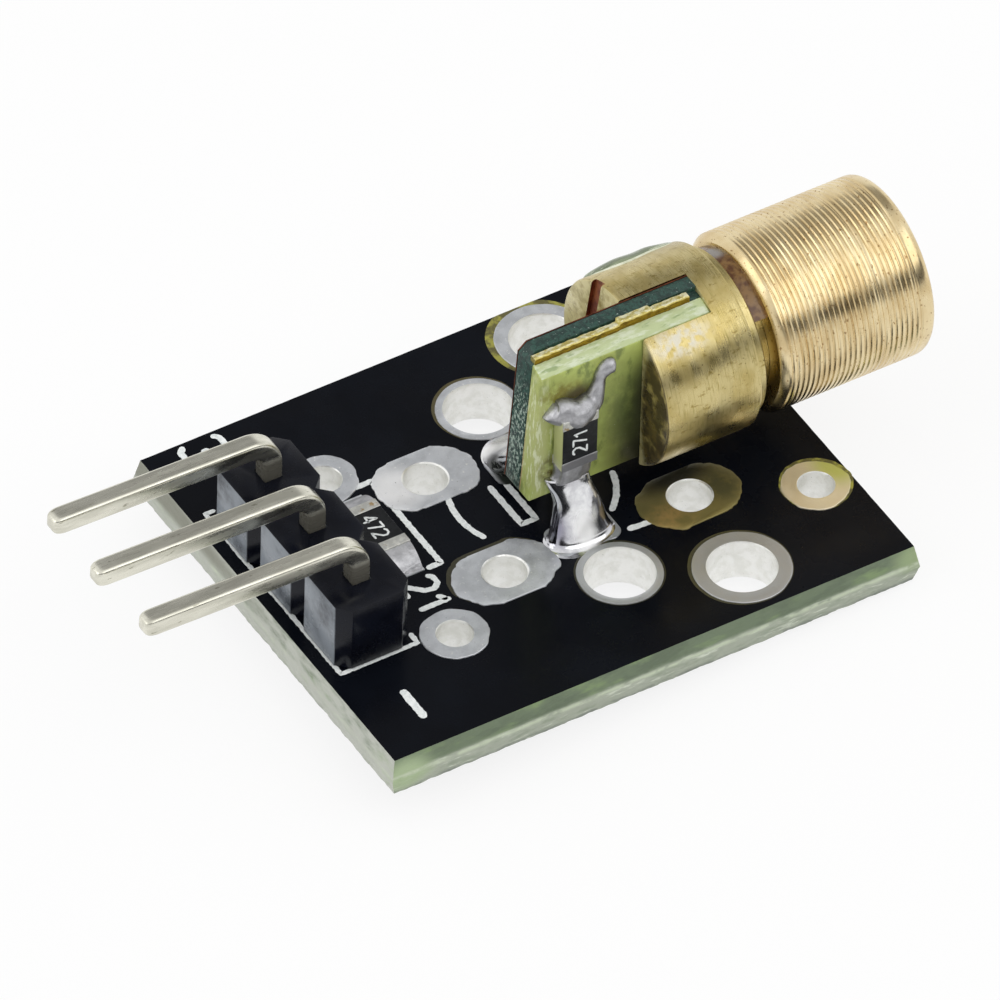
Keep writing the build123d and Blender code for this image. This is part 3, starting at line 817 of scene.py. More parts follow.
@dataclass(frozen=True)
class PadOutline:
    """A pad's outline: a circle, or an oval with round ends when half_run is not 0.

    Its edge wavers in and out by a share of the radius. Each of its waves has a share,
    a count and a place in the noise, and pad_spread sets how far pads differ.
    """

    radius: float
    half_run: float = 0.0
    waver: float = 0.012
    segments: int = 72
    pad_spread: float = 3.0
    waves: tuple[Point, ...] = ((1.0, 2.0, 0.5), (0.5, 7.0, 2.5))

    def ring(self, x: float, y: float, hole: float, share: float, z: float) -> Ring:
        """Give a ring between the hole and the pad's edge.

        Args:
            x: The pad's centre.
            y: The pad's centre.
            hole: The radius of the hole.
            share: 0 at the hole, 1 at the edge of the pad.
            z: The ring's height.

        Returns:
            The ring's points.
        """
        ring = []
        for k in range(self.segments):
            turn = 2 * math.pi * (k + 0.5) / self.segments
            c, s = math.cos(turn), math.sin(turn)
            shake = 0.0
            for part, count, level in self.waves:
                place = (x * self.pad_spread + count * c, y * self.pad_spread + count * s, level)
                shake += part * noise.noise(Vector(place))
            wide = self.radius * (1 + self.waver * shake)
            run = math.copysign(self.half_run, c)
            outer = Vector((run + wide * c, wide * s))
            inner = Vector((hole * c, hole * s))
            spot = inner.lerp(outer, share)
            ring.append((x + spot.x, y + spot.y, z))
        return ring


@dataclass(frozen=True)
class HoleGroup:
    """Like holes in the board: their node, places, finished radius and pad."""

    node: str
    places: tuple[Flat, ...]
    radius: float
    pad: PadOutline


@dataclass(frozen=True)
class MaskWindow:
    """A window in the mask round a hole, off centre by the way it was printed."""

    hole: Flat
    hole_radius: float
    outline: PadOutline
    shift: Flat


@dataclass
class CircuitBoard:
    """The main board: mask, snapped edges, tinned holes and bare crescents.

    The section of a pad's tin is a list of places, each a share of the way from the
    hole to the pad's edge and a rise in thicknesses of the tin.
    """

    edge_step: float = 0.11
    edge_roughness: float = 0.03
    edge_levels: int = 14
    hole_segments: int = 72
    plating_wall: float = 0.07
    ridge: float = 0.15
    ridge_z: float = 0.6
    tear_reach: float = 0.35
    least_tear: float = 0.15
    tear_scale: Point = (2.6, 2.6, 3.5)
    tear_bias: float = 0.4
    tear_fractal: tuple[float, float, int] = (0.7, 2.0, 4)
    window_film: float = 0.006
    pad_section: tuple[Flat, ...] = (
        (1.0, 0.0), (0.985, 0.7), (0.95, 1.0), (0.6, 1.05), (0.2, 1.0), (0.12, 1.2), (0.05, 1.1),
    )
    wall_section: tuple[Flat, ...] = ((0.0, 0.2), (0.0, -2.0))
    hole_margin: float = 0.999
    face_precision: float = 1e-6
    board_sharp_deg: float = 40.0
    holes: tuple[HoleGroup, ...] = (
        HoleGroup("mounting_hole_plating", ((0.0, -5.7), (0.0, 5.7)), 1.07, PadOutline(1.53)),
        HoleGroup("middle_hole_plating", ((-3.3, -4.075), (-3.3, 4.075)), 1.09, PadOutline(1.33)),
        HoleGroup("grid_hole_plating", ((-8.92, -3.81), (-8.92, 3.81), (3.78, -3.81), (3.78, 3.81)),
                  0.56, PadOutline(1.06, waver=0.05)),
        HoleGroup("header_hole_plating", ((-11.49, -2.3), (-11.49, 0.24), (-11.49, 2.78)), 0.5,
                  PadOutline(0.85)),
        HoleGroup("oval_hole_plating", ((-6.25, -2.3), (-6.25, 2.3), (0.25, -2.3), (0.25, 2.3)), 0.68,
                  PadOutline(1.12, 0.59, waver=0.09)),
    )
    windows: tuple[MaskWindow, ...] = (
        MaskWindow((0.0, -5.7), 1.14, PadOutline(1.6), (-0.03, 0.04)),
        MaskWindow((0.0, 5.7), 1.14, PadOutline(1.66), (-0.07, 0.12)),
        MaskWindow((3.78, -3.81), 0.63, PadOutline(1.13, waver=0.03), (0.05, 0.06)),
        MaskWindow((-3.3, 4.075), 1.16, PadOutline(1.38), (-0.02, 0.07)),
        MaskWindow((-3.3, -4.075), 1.16, PadOutline(1.39), (0.02, 0.03)),
        MaskWindow((-6.25, -2.3), 0.75, PadOutline(1.13, 0.59, waver=0.06), (-0.08, 0.12)),
    )

    def __post_init__(self) -> None:
        """Read the board's corners from the frame."""
        self.low, self.high = box_mm("circuit_board")
        self.top = self.high.z

    def drilled(self) -> list[Point]:
        """List each drilled hole: its centre and its radius before plating."""
        return [(x, y, g.radius + self.plating_wall) for g in self.holes for x, y in g.places]

    def outline(self) -> list[Flat]:
        """Walk round the board at its widest, in even steps.

        Returns:
            The places along the walk.
        """
        low, high = self.low, self.high
        corners = [(low.x, low.y), (high.x, low.y), (high.x, high.y), (low.x, high.y)]
        walk = []
        for i, start in enumerate(corners):
            end = corners[(i + 1) % 4]
            steps = round(math.dist(start, end) / self.edge_step)
            walk += [tuple(Vector(start).lerp(Vector(end), k / steps)) for k in range(steps)]
        return walk

    def wall(self) -> list[Ring]:
        """Build the board's rough wall, scored above its ridge and torn at and below it.

        Returns:
            Its rings from the top face to the bottom one.
        """
        centre = (self.low + self.high) / 2
        half = (self.high - self.low) / 2
        rings = []
        for level in range(self.edge_levels + 1):
            z = self.top * (1 - level / self.edge_levels)
            above = z > self.ridge_z
            depth = (z - self.ridge_z) / (self.top - self.ridge_z) if above else 1 - z / self.ridge_z
            torn = max(0.0, 1 - abs(z - self.ridge_z) / self.tear_reach) if above else 1.0
            ring = []
            for x, y in self.outline():
                scaled = [place * scale for place, scale in zip((x, y, z), self.tear_scale)]
                rough = noise.fractal(Vector(scaled), *self.tear_fractal)
                shave = self.edge_roughness * (self.least_tear + torn) * max(0.0, rough + self.tear_bias)
                inward = self.ridge * depth + shave
                new_x = centre.x + (x - centre.x) * ((half.x - inward) / half.x)
                new_y = centre.y + (y - centre.y) * ((half.y - inward) / half.y)
                ring.append((new_x, new_y, z))
            rings.append(ring)
        return rings

    def face(self, rim: Ring, z: float) -> Shape:
        """Fill one face of the board inside a rim, round the drilled holes.

        Args:
            rim: The wall's ring at that face.
            z: The face's height.

        Returns:
            The face.
        """
        flat = [Vector((p[0], p[1])) for p in rim]
        edges = [(i, (i + 1) % len(rim)) for i in range(len(rim))]
        for x, y, radius in self.drilled():
            start = len(flat)
            flat += [Vector(p) for p in circle(x, y, radius, self.hole_segments)]
            count = self.hole_segments
            edges += [(start + k, start + (k + 1) % count) for k in range(count)]
        inside = 1
        points, _, faces, *_ = delaunay_2d_cdt(flat, edges, [], inside, self.face_precision)
        solid = []
        margin = self.hole_margin
        for face in faces:
            middle = sum((points[i] for i in face), Vector((0, 0))) / len(face)
            if all(math.dist(middle, (x, y)) > radius * margin for x, y, radius in self.drilled()):
                solid.append(tuple(face))
        return Shape([(p.x, p.y, z) for p in points], solid, [0] * len(solid))

    def build(self) -> None:
        """Build and dress the board, its pads and its bare crescents."""
        rings = self.wall()
        board = self.face(rings[0], self.top).add(self.face(rings[-1], 0.0))
        for x, y, radius in self.drilled():
            around = circle(x, y, radius, self.hole_segments)
            bore = [[(px, py, z) for px, py in around] for z in (0.0, self.top)]
            board.add(skin(bore, caps=False))
        board.add(skin(rings, caps=False, tones=[1] * self.edge_levels))
        place_piece("masked_board", board, [Surface.SOLDER_MASK, Surface.SNAPPED_EDGE],
                    ["circuit_board"], self.board_sharp_deg)
        for group in self.holes:
            self.tin(group)
        self.crescents()
        for node in ("chip_lands", "fillet_lands"):
            dress_node(node, Surface.LEVELLED_TIN)

    def tin(self, group: HoleGroup) -> None:
        """Build a group of tinned pads: a hollow rivet of tin through each hole.

        Args:
            group: The holes.
        """
        thick = box_mm(group.node)[1].z - self.top
        section = self.pad_section + self.wall_section
        tones = [0] * (len(self.pad_section) - 1) + [1] * len(self.wall_section)
        shape = Shape()
        for x, y in group.places:
            halves = []
            for face, side in ((self.top, 1), (0.0, -1)):
                places = [(share, face + side * rise * thick) for share, rise in section]
                halves.append([group.pad.ring(x, y, group.radius, share, z) for share, z in places])
            upper, lower = halves
            shape.add(skin(upper + lower[::-1], loop=True, tones=tones + [1] + tones[::-1] + [0]))
        place_piece(f"{group.node}_tin", shape, [Surface.LEVELLED_TIN, Surface.PLATED_WALL],
                    [group.node])

    def crescents(self) -> None:
        """Lay the bare laminate that shows where the mask's windows sit off centre."""
        shape = Shape()
        film, rim = self.window_film, self.high.y - self.ridge
        for window in self.windows:
            (x, y), (dx, dy) = window.hole, window.shift
            rings = []
            for edge, rise in ((0, 0.0), (0, film), (1, film), (1, 0.0)):
                ring = window.outline.ring(x, y, window.hole_radius, edge, self.top + rise)
                rings.append([(px + dx * edge, min(py + dy * edge, rim), pz) for px, py, pz in ring])
            shape.add(skin(rings, loop=True))
        place_piece("mask_windows", shape, [Surface.BARE_LAMINATE])


@dataclass(frozen=True)
class Seat:
    """A flat place to print on: an origin, a right and an up direction."""

    origin: Vector
    right: Vector
    up: Vector

    def at(self, u: float, v: float, w: float) -> Point:
        """Turn a place on the seat to the module's frame."""
        return tuple(self.origin + self.right * u + self.up * v + self.right.cross(self.up) * w)


# Plain digits as strokes in a cell 0.55 wide and 1 tall
DIGITS: dict[str, list[list[Flat]]] = {
    "1": [[(0.03, 0.7), (0.3, 0.9)], [(0.3, 1.0), (0.3, 0.0)]],
    "3": [[(0.0, 0.84), (0.14, 0.98), (0.4, 0.98), (0.55, 0.8), (0.48, 0.6), (0.34, 0.52), (0.34, 0.48),
           (0.5, 0.4), (0.57, 0.2), (0.42, 0.02), (0.14, 0.0), (0.0, 0.15)]],
    "2": [[(0.0, 0.85), (0.15, 1.0), (0.4, 1.0), (0.55, 0.8), (0.5, 0.55), (0.0, 0.0), (0.55, 0.0)]],
    "4": [[(0.42, 0.0), (0.42, 1.0), (0.0, 0.35), (0.55, 0.35)]],
    "7": [[(0.0, 1.0), (0.55, 1.0), (0.2, 0.0)]],
}


@dataclass
class Print:
    """Marks printed on a flat place, each a stroke of ink with slightly broken edges."""

    seat: Seat
    film: float = 0.012
    step: float = 0.05
    broken: float = 0.03
    break_scale: float = 9.0
    side_spread: float = 5.0
    least_end: float = 0.15

    def stroke(self, path: Sequence[Flat], width: float) -> Shape:
        """Draw one stroke.

        Args:
            path: The corners that the stroke passes through.
            width: The stroke's width.

        Returns:
            The stroke.
        """
        corners = [Vector(p) for p in path]
        walk: list[Vector] = []
        for start, end in zip(corners, corners[1:]):
            steps = max(1, round((end - start).length / self.step))
            walk += [start.lerp(end, k / steps) for k in range(steps)]
        walk.append(corners[-1])
        rings = []
        for i, spot in enumerate(walk):
            along = (walk[min(len(walk) - 1, i + 1)] - walk[max(0, i - 1)]).normalized()
            side = Vector((-along.y, along.x))
            short = max(0.0, 1 - 2 * min((spot - walk[0]).length, (spot - walk[-1]).length) / width)
            slim = math.sqrt(max(self.least_end, 1 - short**2))
            edges = []
            for sign in (1, -1):
                across, scale = sign * self.side_spread, self.break_scale
                shake = noise.noise(Vector((spot.x * scale, spot.y * scale, across)))
                edges.append(spot + side * sign * slim * (width / 2 + self.broken * shake))
            left, right = edges
            rings.append([
                self.seat.at(left.x, left.y, 0.0), self.seat.at(left.x, left.y, self.film),
                self.seat.at(right.x, right.y, self.film), self.seat.at(right.x, right.y, 0.0),
            ])
        return skin(rings)

    def digits(self, text: str, corner: Flat, height: float, width: float, pitch: float = 0.78) -> Shape:
        """Write plain digits.

        Args:
            text: The digits.
            corner: The lower left corner of the first.
            height: How tall they are.
            width: The width of their strokes.
            pitch: From one digit to the next, as a share of the height.

        Returns:
            The strokes.
        """
        shape = Shape()
        for i, digit in enumerate(text):
            left = corner[0] + i * height * pitch
            for path in DIGITS[digit]:
                places = [(left + u * height, corner[1] + v * height) for u, v in path]
                shape.add(self.stroke(places, width))
        return shape


def curved(corners: Sequence[Vector], steps: int) -> list[Vector]:
    """Run a smooth curve through a list of points.

    Args:
        corners: The points.
        steps: How many pieces each stretch is cut into.

    Returns:
        Points along the curve.
    """
    ends = [corners[0] * 2 - corners[1], *corners, corners[-1] * 2 - corners[-2]]
    walk = []
    for a, b, c, d in zip(ends, ends[1:], ends[2:], ends[3:]):
        for k in range(steps):
            t = k / steps
            square, cube = a * 2 - b * 5 + c * 4 - d, b * 3 - a - c * 3 + d
            blend = b * 2 + (c - a) * t + square * t**2 + cube * t**3
            walk.append(blend / 2)
    return [*walk, corners[-1]]


@dataclass(frozen=True)
class PrintedNumber:
    """A plain number on the board: its digits, place, height and stroke."""

    digits: str
    place: Flat
    height: float
    stroke: float


@dataclass
class BoardPrint:
    """The white print on the board: outlines, ticks, a broken circle and plain numbers."""

    line: float = 0.15
    thick: float = 0.2
    bold: float = 0.26
    header_outline: tuple[Flat, ...] = (
        (-12.4, 4.33), (-12.74, 4.33), (-12.74, -3.56), (-10.06, -3.56), (-10.06, -3.1),
    )
    pin_tick: tuple[Flat, ...] = ((-11.52, -5.05), (-11.52, -6.4))
    resistor_bracket: tuple[Flat, ...] = ((-8.35, 3.05), (-7.7, 3.05), (-7.7, -0.99), (-8.2, -0.99))
    head_tick: tuple[Flat, ...] = ((-2.12, -2.58), (-1.28, -2.64))
    upright_outline: tuple[Flat, ...] = ((-4.75, 1.1), (-4.75, -0.8), (-4.25, -0.8), (-4.25, 1.1))
    round_centre: Flat = (-3.7, 0.35)
    round_radius: float = 2.55
    round_arcs_deg: tuple[Flat, ...] = ((158.0, 206.0), (308.0, 348.0))
    arc_steps: int = 8
    numbers: tuple[PrintedNumber, ...] = (
        PrintedNumber("21", (-9.37, -1.18), 1.1, 0.19),
        PrintedNumber("3", (-12.1, 7.2), 1.4, 0.2),
    )
    number_corner: Flat = (0.05, 0.05)

    def build(self) -> None:
        """Print every mark on the board's top face."""
        top = box_mm("circuit_board")[1].z
        ink = Print(Seat(Vector((0, 0, top)), Vector((1, 0, 0)), Vector((0, 1, 0))))
        straight = (
            (self.header_outline, self.line),
            (self.pin_tick, self.bold),
            (self.resistor_bracket, self.thick),
            (self.head_tick, self.thick),
            (self.upright_outline, self.thick),
        )
        marks = Shape()
        for path, width in straight:
            marks.add(ink.stroke(path, width))
        (x, y), radius = self.round_centre, self.round_radius
        for start, end in self.round_arcs_deg:
            shares = [k / self.arc_steps for k in range(self.arc_steps + 1)]
            turns = [math.radians(start + (end - start) * share) for share in shares]
            arc = [(x + radius * math.cos(t), y + radius * math.sin(t)) for t in turns]
            marks.add(ink.stroke(arc, self.thick))
        for number in self.numbers:
            seat = Seat(Vector((*number.place, top)), Vector((0, -1, 0)), Vector((1, 0, 0)))
            marks.add(Print(seat).digits(number.digits, self.number_corner, number.height, number.stroke))
        place_piece("board_print", marks, [Surface.SCREEN_INK])


@dataclass
class PinHeader:
    """The right-angle header: its moulding, three bent pins and their joints.

    The taper of a pin's tail is a list of places, each a height over its end and the
    share of the full section there.
    """

    pin_size: float = 0.64
    pin_corner: float = 0.12
    bend_radius: float = 0.8
    rise_deg: float = 1.8
    tail_taper: tuple[Flat, ...] = ((0.0, 0.55), (0.05, 0.75), (0.13, 0.92))
    tip_length: float = 0.4
    tip_sweep_deg: float = 88.0
    tip_least: float = 0.3
    tip_power: float = 0.6
    run_height: float = 3.8
    section_steps: int = 5
    bend_steps: int = 14
    tip_steps: int = 7
    pin_sharp_deg: float = 60.0
    moulding_edge: float = 0.03
    joint_steps: int = 10
    joint_segments: int = 48
    joint_power: float = 0.45
    joint_bed: float = 0.04
    pins: tuple[str, ...] = ("header_pin_near", "header_pin_middle", "header_pin_far")

    def section(self, scale: float) -> list[Flat]:
        """Give the pin's rounded square section.

        Args:
            scale: Its size as a share of the full section.

        Returns:
            The points round it.
        """
        half, corner = self.pin_size / 2 * scale, self.pin_corner * scale
        points = []
        for quarter in range(4):
            mid = math.pi / 4 + quarter * math.pi / 2
            cx = math.copysign(half - corner, math.cos(mid))
            cy = math.copysign(half - corner, math.sin(mid))
            for k in range(self.section_steps + 1):
                turn = quarter * math.pi / 2 + math.pi / 2 * k / self.section_steps
                points.append((cx + corner * math.cos(turn), cy + corner * math.sin(turn)))
        return points

    def route(self, x: float, low: float, top: float, reach: float) -> list[tuple[Flat, float, float]]:
        """Walk along a pin: place in XZ, heading and section scale.

        Args:
            x: The tail's place along X.
            low: The tail's end.
            top: The height of the run's centreline at the bend.
            reach: Length of the run from the tail's centreline.

        Returns:
            The stations.
        """
        upright = math.pi / 2
        tail_ends = (*self.tail_taper, (self.tip_length, 1.0))
        stations = [((x, low + along), upright, scale) for along, scale in tail_ends]
        radius = self.bend_radius
        swing = math.radians(90 - self.rise_deg)
        for k in range(self.bend_steps + 1):
            turn = swing * k / self.bend_steps
            place = (x - radius + radius * math.cos(turn), top - radius + radius * math.sin(turn))
            stations.append((place, upright + turn, 1.0))
        start, heading = stations[-1][0], stations[-1][1]
        run = reach - radius
        for k in range(self.tip_steps + 1):
            turn = math.radians(self.tip_sweep_deg) * k / self.tip_steps
            along = run - self.tip_length * (1 - math.sin(turn))
            place = (start[0] + math.cos(heading) * along, start[1] + math.sin(heading) * along)
            scale = self.tip_least + (1 - self.tip_least) * math.cos(turn) ** self.tip_power
            stations.append((place, heading, scale))
        return stations

    def pin(self, node: str) -> None:
        """Build one pin.

        Args:
            node: The CAD node that it takes the place of.
        """
        low, high = box_mm(node)
        board_top = box_mm("circuit_board")[1].z
        x, y = high.x - self.pin_size / 2, (low.y + high.y) / 2
        reach = (x - low.x) / math.cos(math.radians(self.rise_deg))
        rings = []
        for (px, pz), heading, scale in self.route(x, low.z, board_top + self.run_height, reach):
            across = Vector((math.sin(heading), 0, -math.cos(heading)))
            rings.append([tuple(Vector((px, y + v, pz)) + across * u) for u, v in self.section(scale)])
        place_piece(f"{node}_bent", skin(rings), [Surface.PLATED_PIN], [node],
                    self.pin_sharp_deg)

    def build(self) -> None:
        """Build the header."""
        moulding = softened("header_body", self.moulding_edge)
        place_piece("header_moulding", moulding, [Surface.MOULDED_POLYESTER],
                    ["header_body"])
        for node in self.pins:
            self.pin(node)
        self.joints()

    def joints(self) -> None:
        """Build the hollow-sided cones of solder on the underside."""
        low, high = box_mm("header_solder")
        shape = Shape()
        radius, steps, bed = (high.x - low.x) / 2, self.joint_steps, self.joint_bed
        for node in self.pins:
            pin_low, pin_high = box_mm(node)
            x, y = pin_high.x - self.pin_size / 2, (pin_low.y + pin_high.y) / 2
            rings = []
            for k in range(steps + 1):
                drop = k / steps
                wide = radius + (self.pin_size / 2 - radius) * drop**self.joint_power
                z = -bed + (low.z + bed) * drop
                rings.append([(px, py, z) for px, py in circle(x, y, wide, self.joint_segments)])
            shape.add(skin(rings))
        place_piece("header_joints", shape, [Surface.BRIGHT_SOLDER], ["header_solder"])


class Carrier(Enum):
    """Which board a chip resistor sits on, as the first words of its nodes' names."""

    BOARD = "board_resistor"
    DRIVER = "driver_resistor"


@dataclass
class ChipResistor:
    """A chip resistor with a plain number on its coat."""

    carrier: Carrier
    number: str
    body_edge: float = 0.03
    end_edge: float = 0.012
    coat_edge: float = 0.008
    digit_height: float = 0.48
    digit_stroke: float = 0.07
    digit_pitch: float = 0.72
    digit_gap: float = 0.3
    ink_film: float = 0.005
    ink_step: float = 0.03
    ink_broken: float = 0.006

    def build(self) -> None:
        """Build and dress the resistor."""
        name = self.carrier.value
        body = softened(f"{name}_body", self.body_edge)
        place_piece(f"{name}_alumina", body, [Surface.FIRED_ALUMINA], [f"{name}_body"])
        ends = softened(f"{name}_terminals", self.end_edge, steps=1)
        place_piece(f"{name}_ends", ends, [Surface.PLATED_TIN], [f"{name}_terminals"])
        coat = softened(f"{name}_coat", self.coat_edge, steps=1)
        place_piece(f"{name}_resin", coat, [Surface.RESIN_COAT], [f"{name}_coat"])
        low, high = box_mm(f"{name}_coat")
        middle = (low + high) / 2
        if self.carrier is Carrier.BOARD:
            seat = Seat(Vector((middle.x, middle.y, high.z)), Vector((0, -1, 0)), Vector((1, 0, 0)))
        else:
            seat = Seat(Vector((middle.x, low.y, middle.z)), Vector((0, 0, 1)), Vector((-1, 0, 0)))
        height, pitch = self.digit_height, self.digit_pitch
        start = -(len(self.number) - self.digit_gap) * height * pitch / 2
        writing = Print(seat, self.ink_film, self.ink_step, self.ink_broken)
        digits = writing.digits(self.number, (start, -height / 2), height, self.digit_stroke, pitch)
        place_piece(f"{name}_number", digits, [Surface.SCREEN_INK])


@dataclass
class UprightBoards:
    """The laser board and the driver board that carry the head.

    The gold strip steps back twice. Each jog is a place along the strip, and the
    setback, width and rise from there on.
    """

    laser_edge: float = 0.04
    driver_edge: float = 0.05
    driver_edge_steps: int = 3
    strip_jogs: tuple[tuple[float, float, float, float], ...] = (
        (0.0, -0.05, 0.25, 0.0), (2.98, -0.03, 0.31, 0.05), (4.13, -0.03, 0.25, 0.01),
    )
    jog_slack: float = 1e-6
    strip_steps: int = 90
    strip_bed: float = 0.16
    strip_lift: float = 0.01
    strip_corner: float = 0.03
    strip_sharp_deg: float = 50.0
    strip_rough: float = 0.02
    crown_rough: float = 0.5
    rough_scale: float = 7.0
    rough_spread: float = 3.1
    rough_slice: float = 0.7

    def build(self) -> None:
        """Build and dress both boards, the foil, the gold strip and the crystal."""
        laser_board = softened("laser_board", self.laser_edge)
        place_piece("laser_board_core", laser_board, [Surface.TEAL_LAMINATE],
                    ["laser_board"])
        driver_board = softened("driver_board", self.driver_edge, self.driver_edge_steps)
        place_piece("driver_board_core", driver_board, [Surface.PALE_LAMINATE],
                    ["driver_board"])
        self.gold_strip()
        dress_node("laser_board_foil", Surface.COPPER_FOIL)
        dress_node("laser_die", Surface.CRYSTAL)

    def gold_strip(self) -> None:
        """Build the scuffed gold strip in the top edge's rebate."""
        low, high = box_mm("edge_contact")
        near, corner = low.y, self.strip_corner
        rings = []
        for i in range(self.strip_steps + 1):
            x = low.x + (high.x - low.x) * i / self.strip_steps
            passed = [jog[1:] for jog in self.strip_jogs if x >= low.x + jog[0] - self.jog_slack]
            setback, width, rise = passed[-1]
            along, level = x * self.rough_scale, self.rough_slice
            bumps = [noise.noise(Vector((along, k * self.rough_spread, level))) for k in range(4)]
            shake = [self.strip_rough * bump for bump in bumps]
            y0 = near + setback + shake[0]
            y1 = near + setback + width + shake[1]
            z0 = low.z - self.strip_bed
            z1 = high.z + rise + shake[2] + self.strip_lift
            rings.append([
                (x, y0, z0), (x, y0, z1 - corner), (x, y0 + corner, z1 + shake[3] * self.crown_rough),
                (x, y1 - corner, z1), (x, y1, z1 - corner), (x, y1, z0),
            ])
        place_piece("gold_strip", skin(rings), [Surface.PLATED_GOLD], ["edge_contact"],
                    self.strip_sharp_deg)


@dataclass(frozen=True)
class Station:
    """A level in a lump of solder: its height, centre, half sizes and rise along X."""

    z: float
    x: float
    y: float
    half_x: float
    half_y: float
    tilt: float = 0.0


@dataclass(frozen=True)
class Lump:
    """A lump of solder: its levels from the foot up, how uneven it is and how round.

    The ripple is a share of its size. Square is 1 for round levels and less for squarer ones.
    """

    ripple: float
    square: float
    stations: tuple[Station, ...]


@dataclass
class SolderWork:
    """The solder that holds the upright boards, and the solder at the resistors."""

    segments: int = 64
    level_steps: int = 5
    lump_wave: float = 1.5
    level_wave: float = 1.2
    sharp_deg: float = 60.0
    near: Lump = Lump(0.03, 0.85, (
        Station(1.405, -3.47, -2.13, 1.22, 0.8),
        Station(1.42, -3.47, -2.08, 1.18, 0.72),
        Station(1.45, -3.46, -2.03, 1.13, 0.66),
        Station(1.49, -3.46, -2.0, 1.09, 0.61),
        Station(1.54, -3.45, -1.98, 1.05, 0.57),
        Station(1.62, -3.45, -1.96, 1.0, 0.54),
        Station(1.85, -3.44, -1.89, 0.91, 0.52),
        Station(2.2, -3.42, -1.79, 0.81, 0.49),
        Station(2.6, -3.42, -1.68, 0.74, 0.45, -0.04),
        Station(3.0, -3.52, -1.59, 0.72, 0.39, -0.1),
        Station(3.3, -3.62, -1.54, 0.76, 0.33, -0.15),
        Station(3.5, -3.67, -1.53, 0.78, 0.28, -0.18),
        Station(3.57, -3.68, -1.53, 0.77, 0.26, -0.18),
        Station(3.6, -3.68, -1.54, 0.73, 0.22, -0.18),
    ))
    far: Lump = Lump(0.05, 0.95, (
        Station(1.405, -3.3, 1.85, 1.12, 0.95),
        Station(1.46, -3.32, 1.8, 1.07, 0.88),
        Station(1.65, -3.36, 1.6, 1.0, 0.76),
        Station(2.0, -3.45, 1.25, 0.94, 0.64),
        Station(2.5, -3.56, 0.82, 0.9, 0.5),
        Station(3.0, -3.66, 0.42, 0.84, 0.37),
        Station(3.3, -3.69, 0.2, 0.76, 0.27),
        Station(3.47, -3.7, 0.12, 0.6, 0.18),
        Station(3.55, -3.7, 0.08, 0.34, 0.1),
    ))
    cushion: Lump = Lump(0.3, 0.85, (
        Station(3.5, -3.66, -1.58, 0.62, 0.2),
        Station(3.62, -3.64, -1.6, 0.7, 0.3),
        Station(3.8, -3.6, -1.62, 0.66, 0.32),
        Station(4.05, -3.56, -1.62, 0.62, 0.32),
        Station(4.3, -3.54, -1.6, 0.58, 0.28),
        Station(4.42, -3.54, -1.58, 0.4, 0.2),
    ))
    blob_route: tuple[Point, ...] = (
        (-4.36, -1.5, 6.56),
        (-4.26, -1.54, 6.48),
        (-3.94, -1.6, 6.37),
        (-3.5, -1.7, 6.21),
        (-3.08, -1.66, 6.28),
        (-2.8, -1.58, 6.48),
        (-2.66, -1.53, 6.88),
        (-2.58, -1.52, 7.2),
        (-2.4, -1.52, 7.42),
        (-2.22, -1.52, 7.48),
        (-2.12, -1.52, 7.47),
    )
    blob_sizes: tuple[float, ...] = (0.24, 0.36, 0.42, 0.44, 0.4, 0.31, 0.22, 0.2, 0.26, 0.27, 0.12)
    blob_steps: int = 6
    blob_ripple: float = 0.12
    blob_wave: float = 1.8
    blob_fractal: tuple[float, float, int] = (0.9, 2.0, 2)

    def lump(self, form: Lump) -> Shape:
        """Skin a lump of solder over its levels.

        Args:
            form: The lump's levels and evenness.

        Returns:
            The lump's shape.
        """
        walk = curved([Vector((s.z, s.x, s.y)) for s in form.stations], self.level_steps)
        sizes = [Vector((s.half_x, s.half_y, s.tilt)) for s in form.stations]
        halves = curved(sizes, self.level_steps)
        rings = []
        for middle, half in zip(walk, halves):
            ring = []
            for j in range(self.segments):
                turn = 2 * math.pi * j / self.segments
                c, s = math.cos(turn), math.sin(turn)
                wave, level = self.lump_wave, middle.x * self.level_wave
                bump = noise.noise(Vector((c * wave + middle.y, s * wave + middle.z, level)))
                shake = 1 + form.ripple * bump
                x = middle.y + half.x * shake * math.copysign(abs(c) ** form.square, c)
                y = middle.z + half.y * shake * math.copysign(abs(s) ** form.square, s)
                ring.append((x, y, middle.x + half.z * (x - middle.y)))
            rings.append(ring)
        return skin(rings)

    def blob(self) -> Shape:
        """Skin the blob above the driver's resistor, whose tail runs up and ends in a drop.

        Returns:
            The blob's shape.
        """
        route = curved([Vector(p) for p in self.blob_route], self.blob_steps)
        sizes = curved([Vector((s, 0, 0)) for s in self.blob_sizes], self.blob_steps)
        rings = []
        for i, (spot, size) in enumerate(zip(route, sizes)):
            along = (route[min(len(route) - 1, i + 1)] - route[max(0, i - 1)]).normalized()
            out = Vector((0, -1, 0))
            side = along.cross(out).normalized()
            ring = []
            for j in range(self.segments):
                turn = 2 * math.pi * j / self.segments
                place = spot + (side * math.cos(turn) + out * math.sin(turn)) * size.x
                bump = noise.fractal(place * self.blob_wave, *self.blob_fractal)
                shake = 1 + self.blob_ripple * bump
                ring.append(tuple(spot + (place - spot) * shake))
            rings.append(ring)
        return skin(rings)

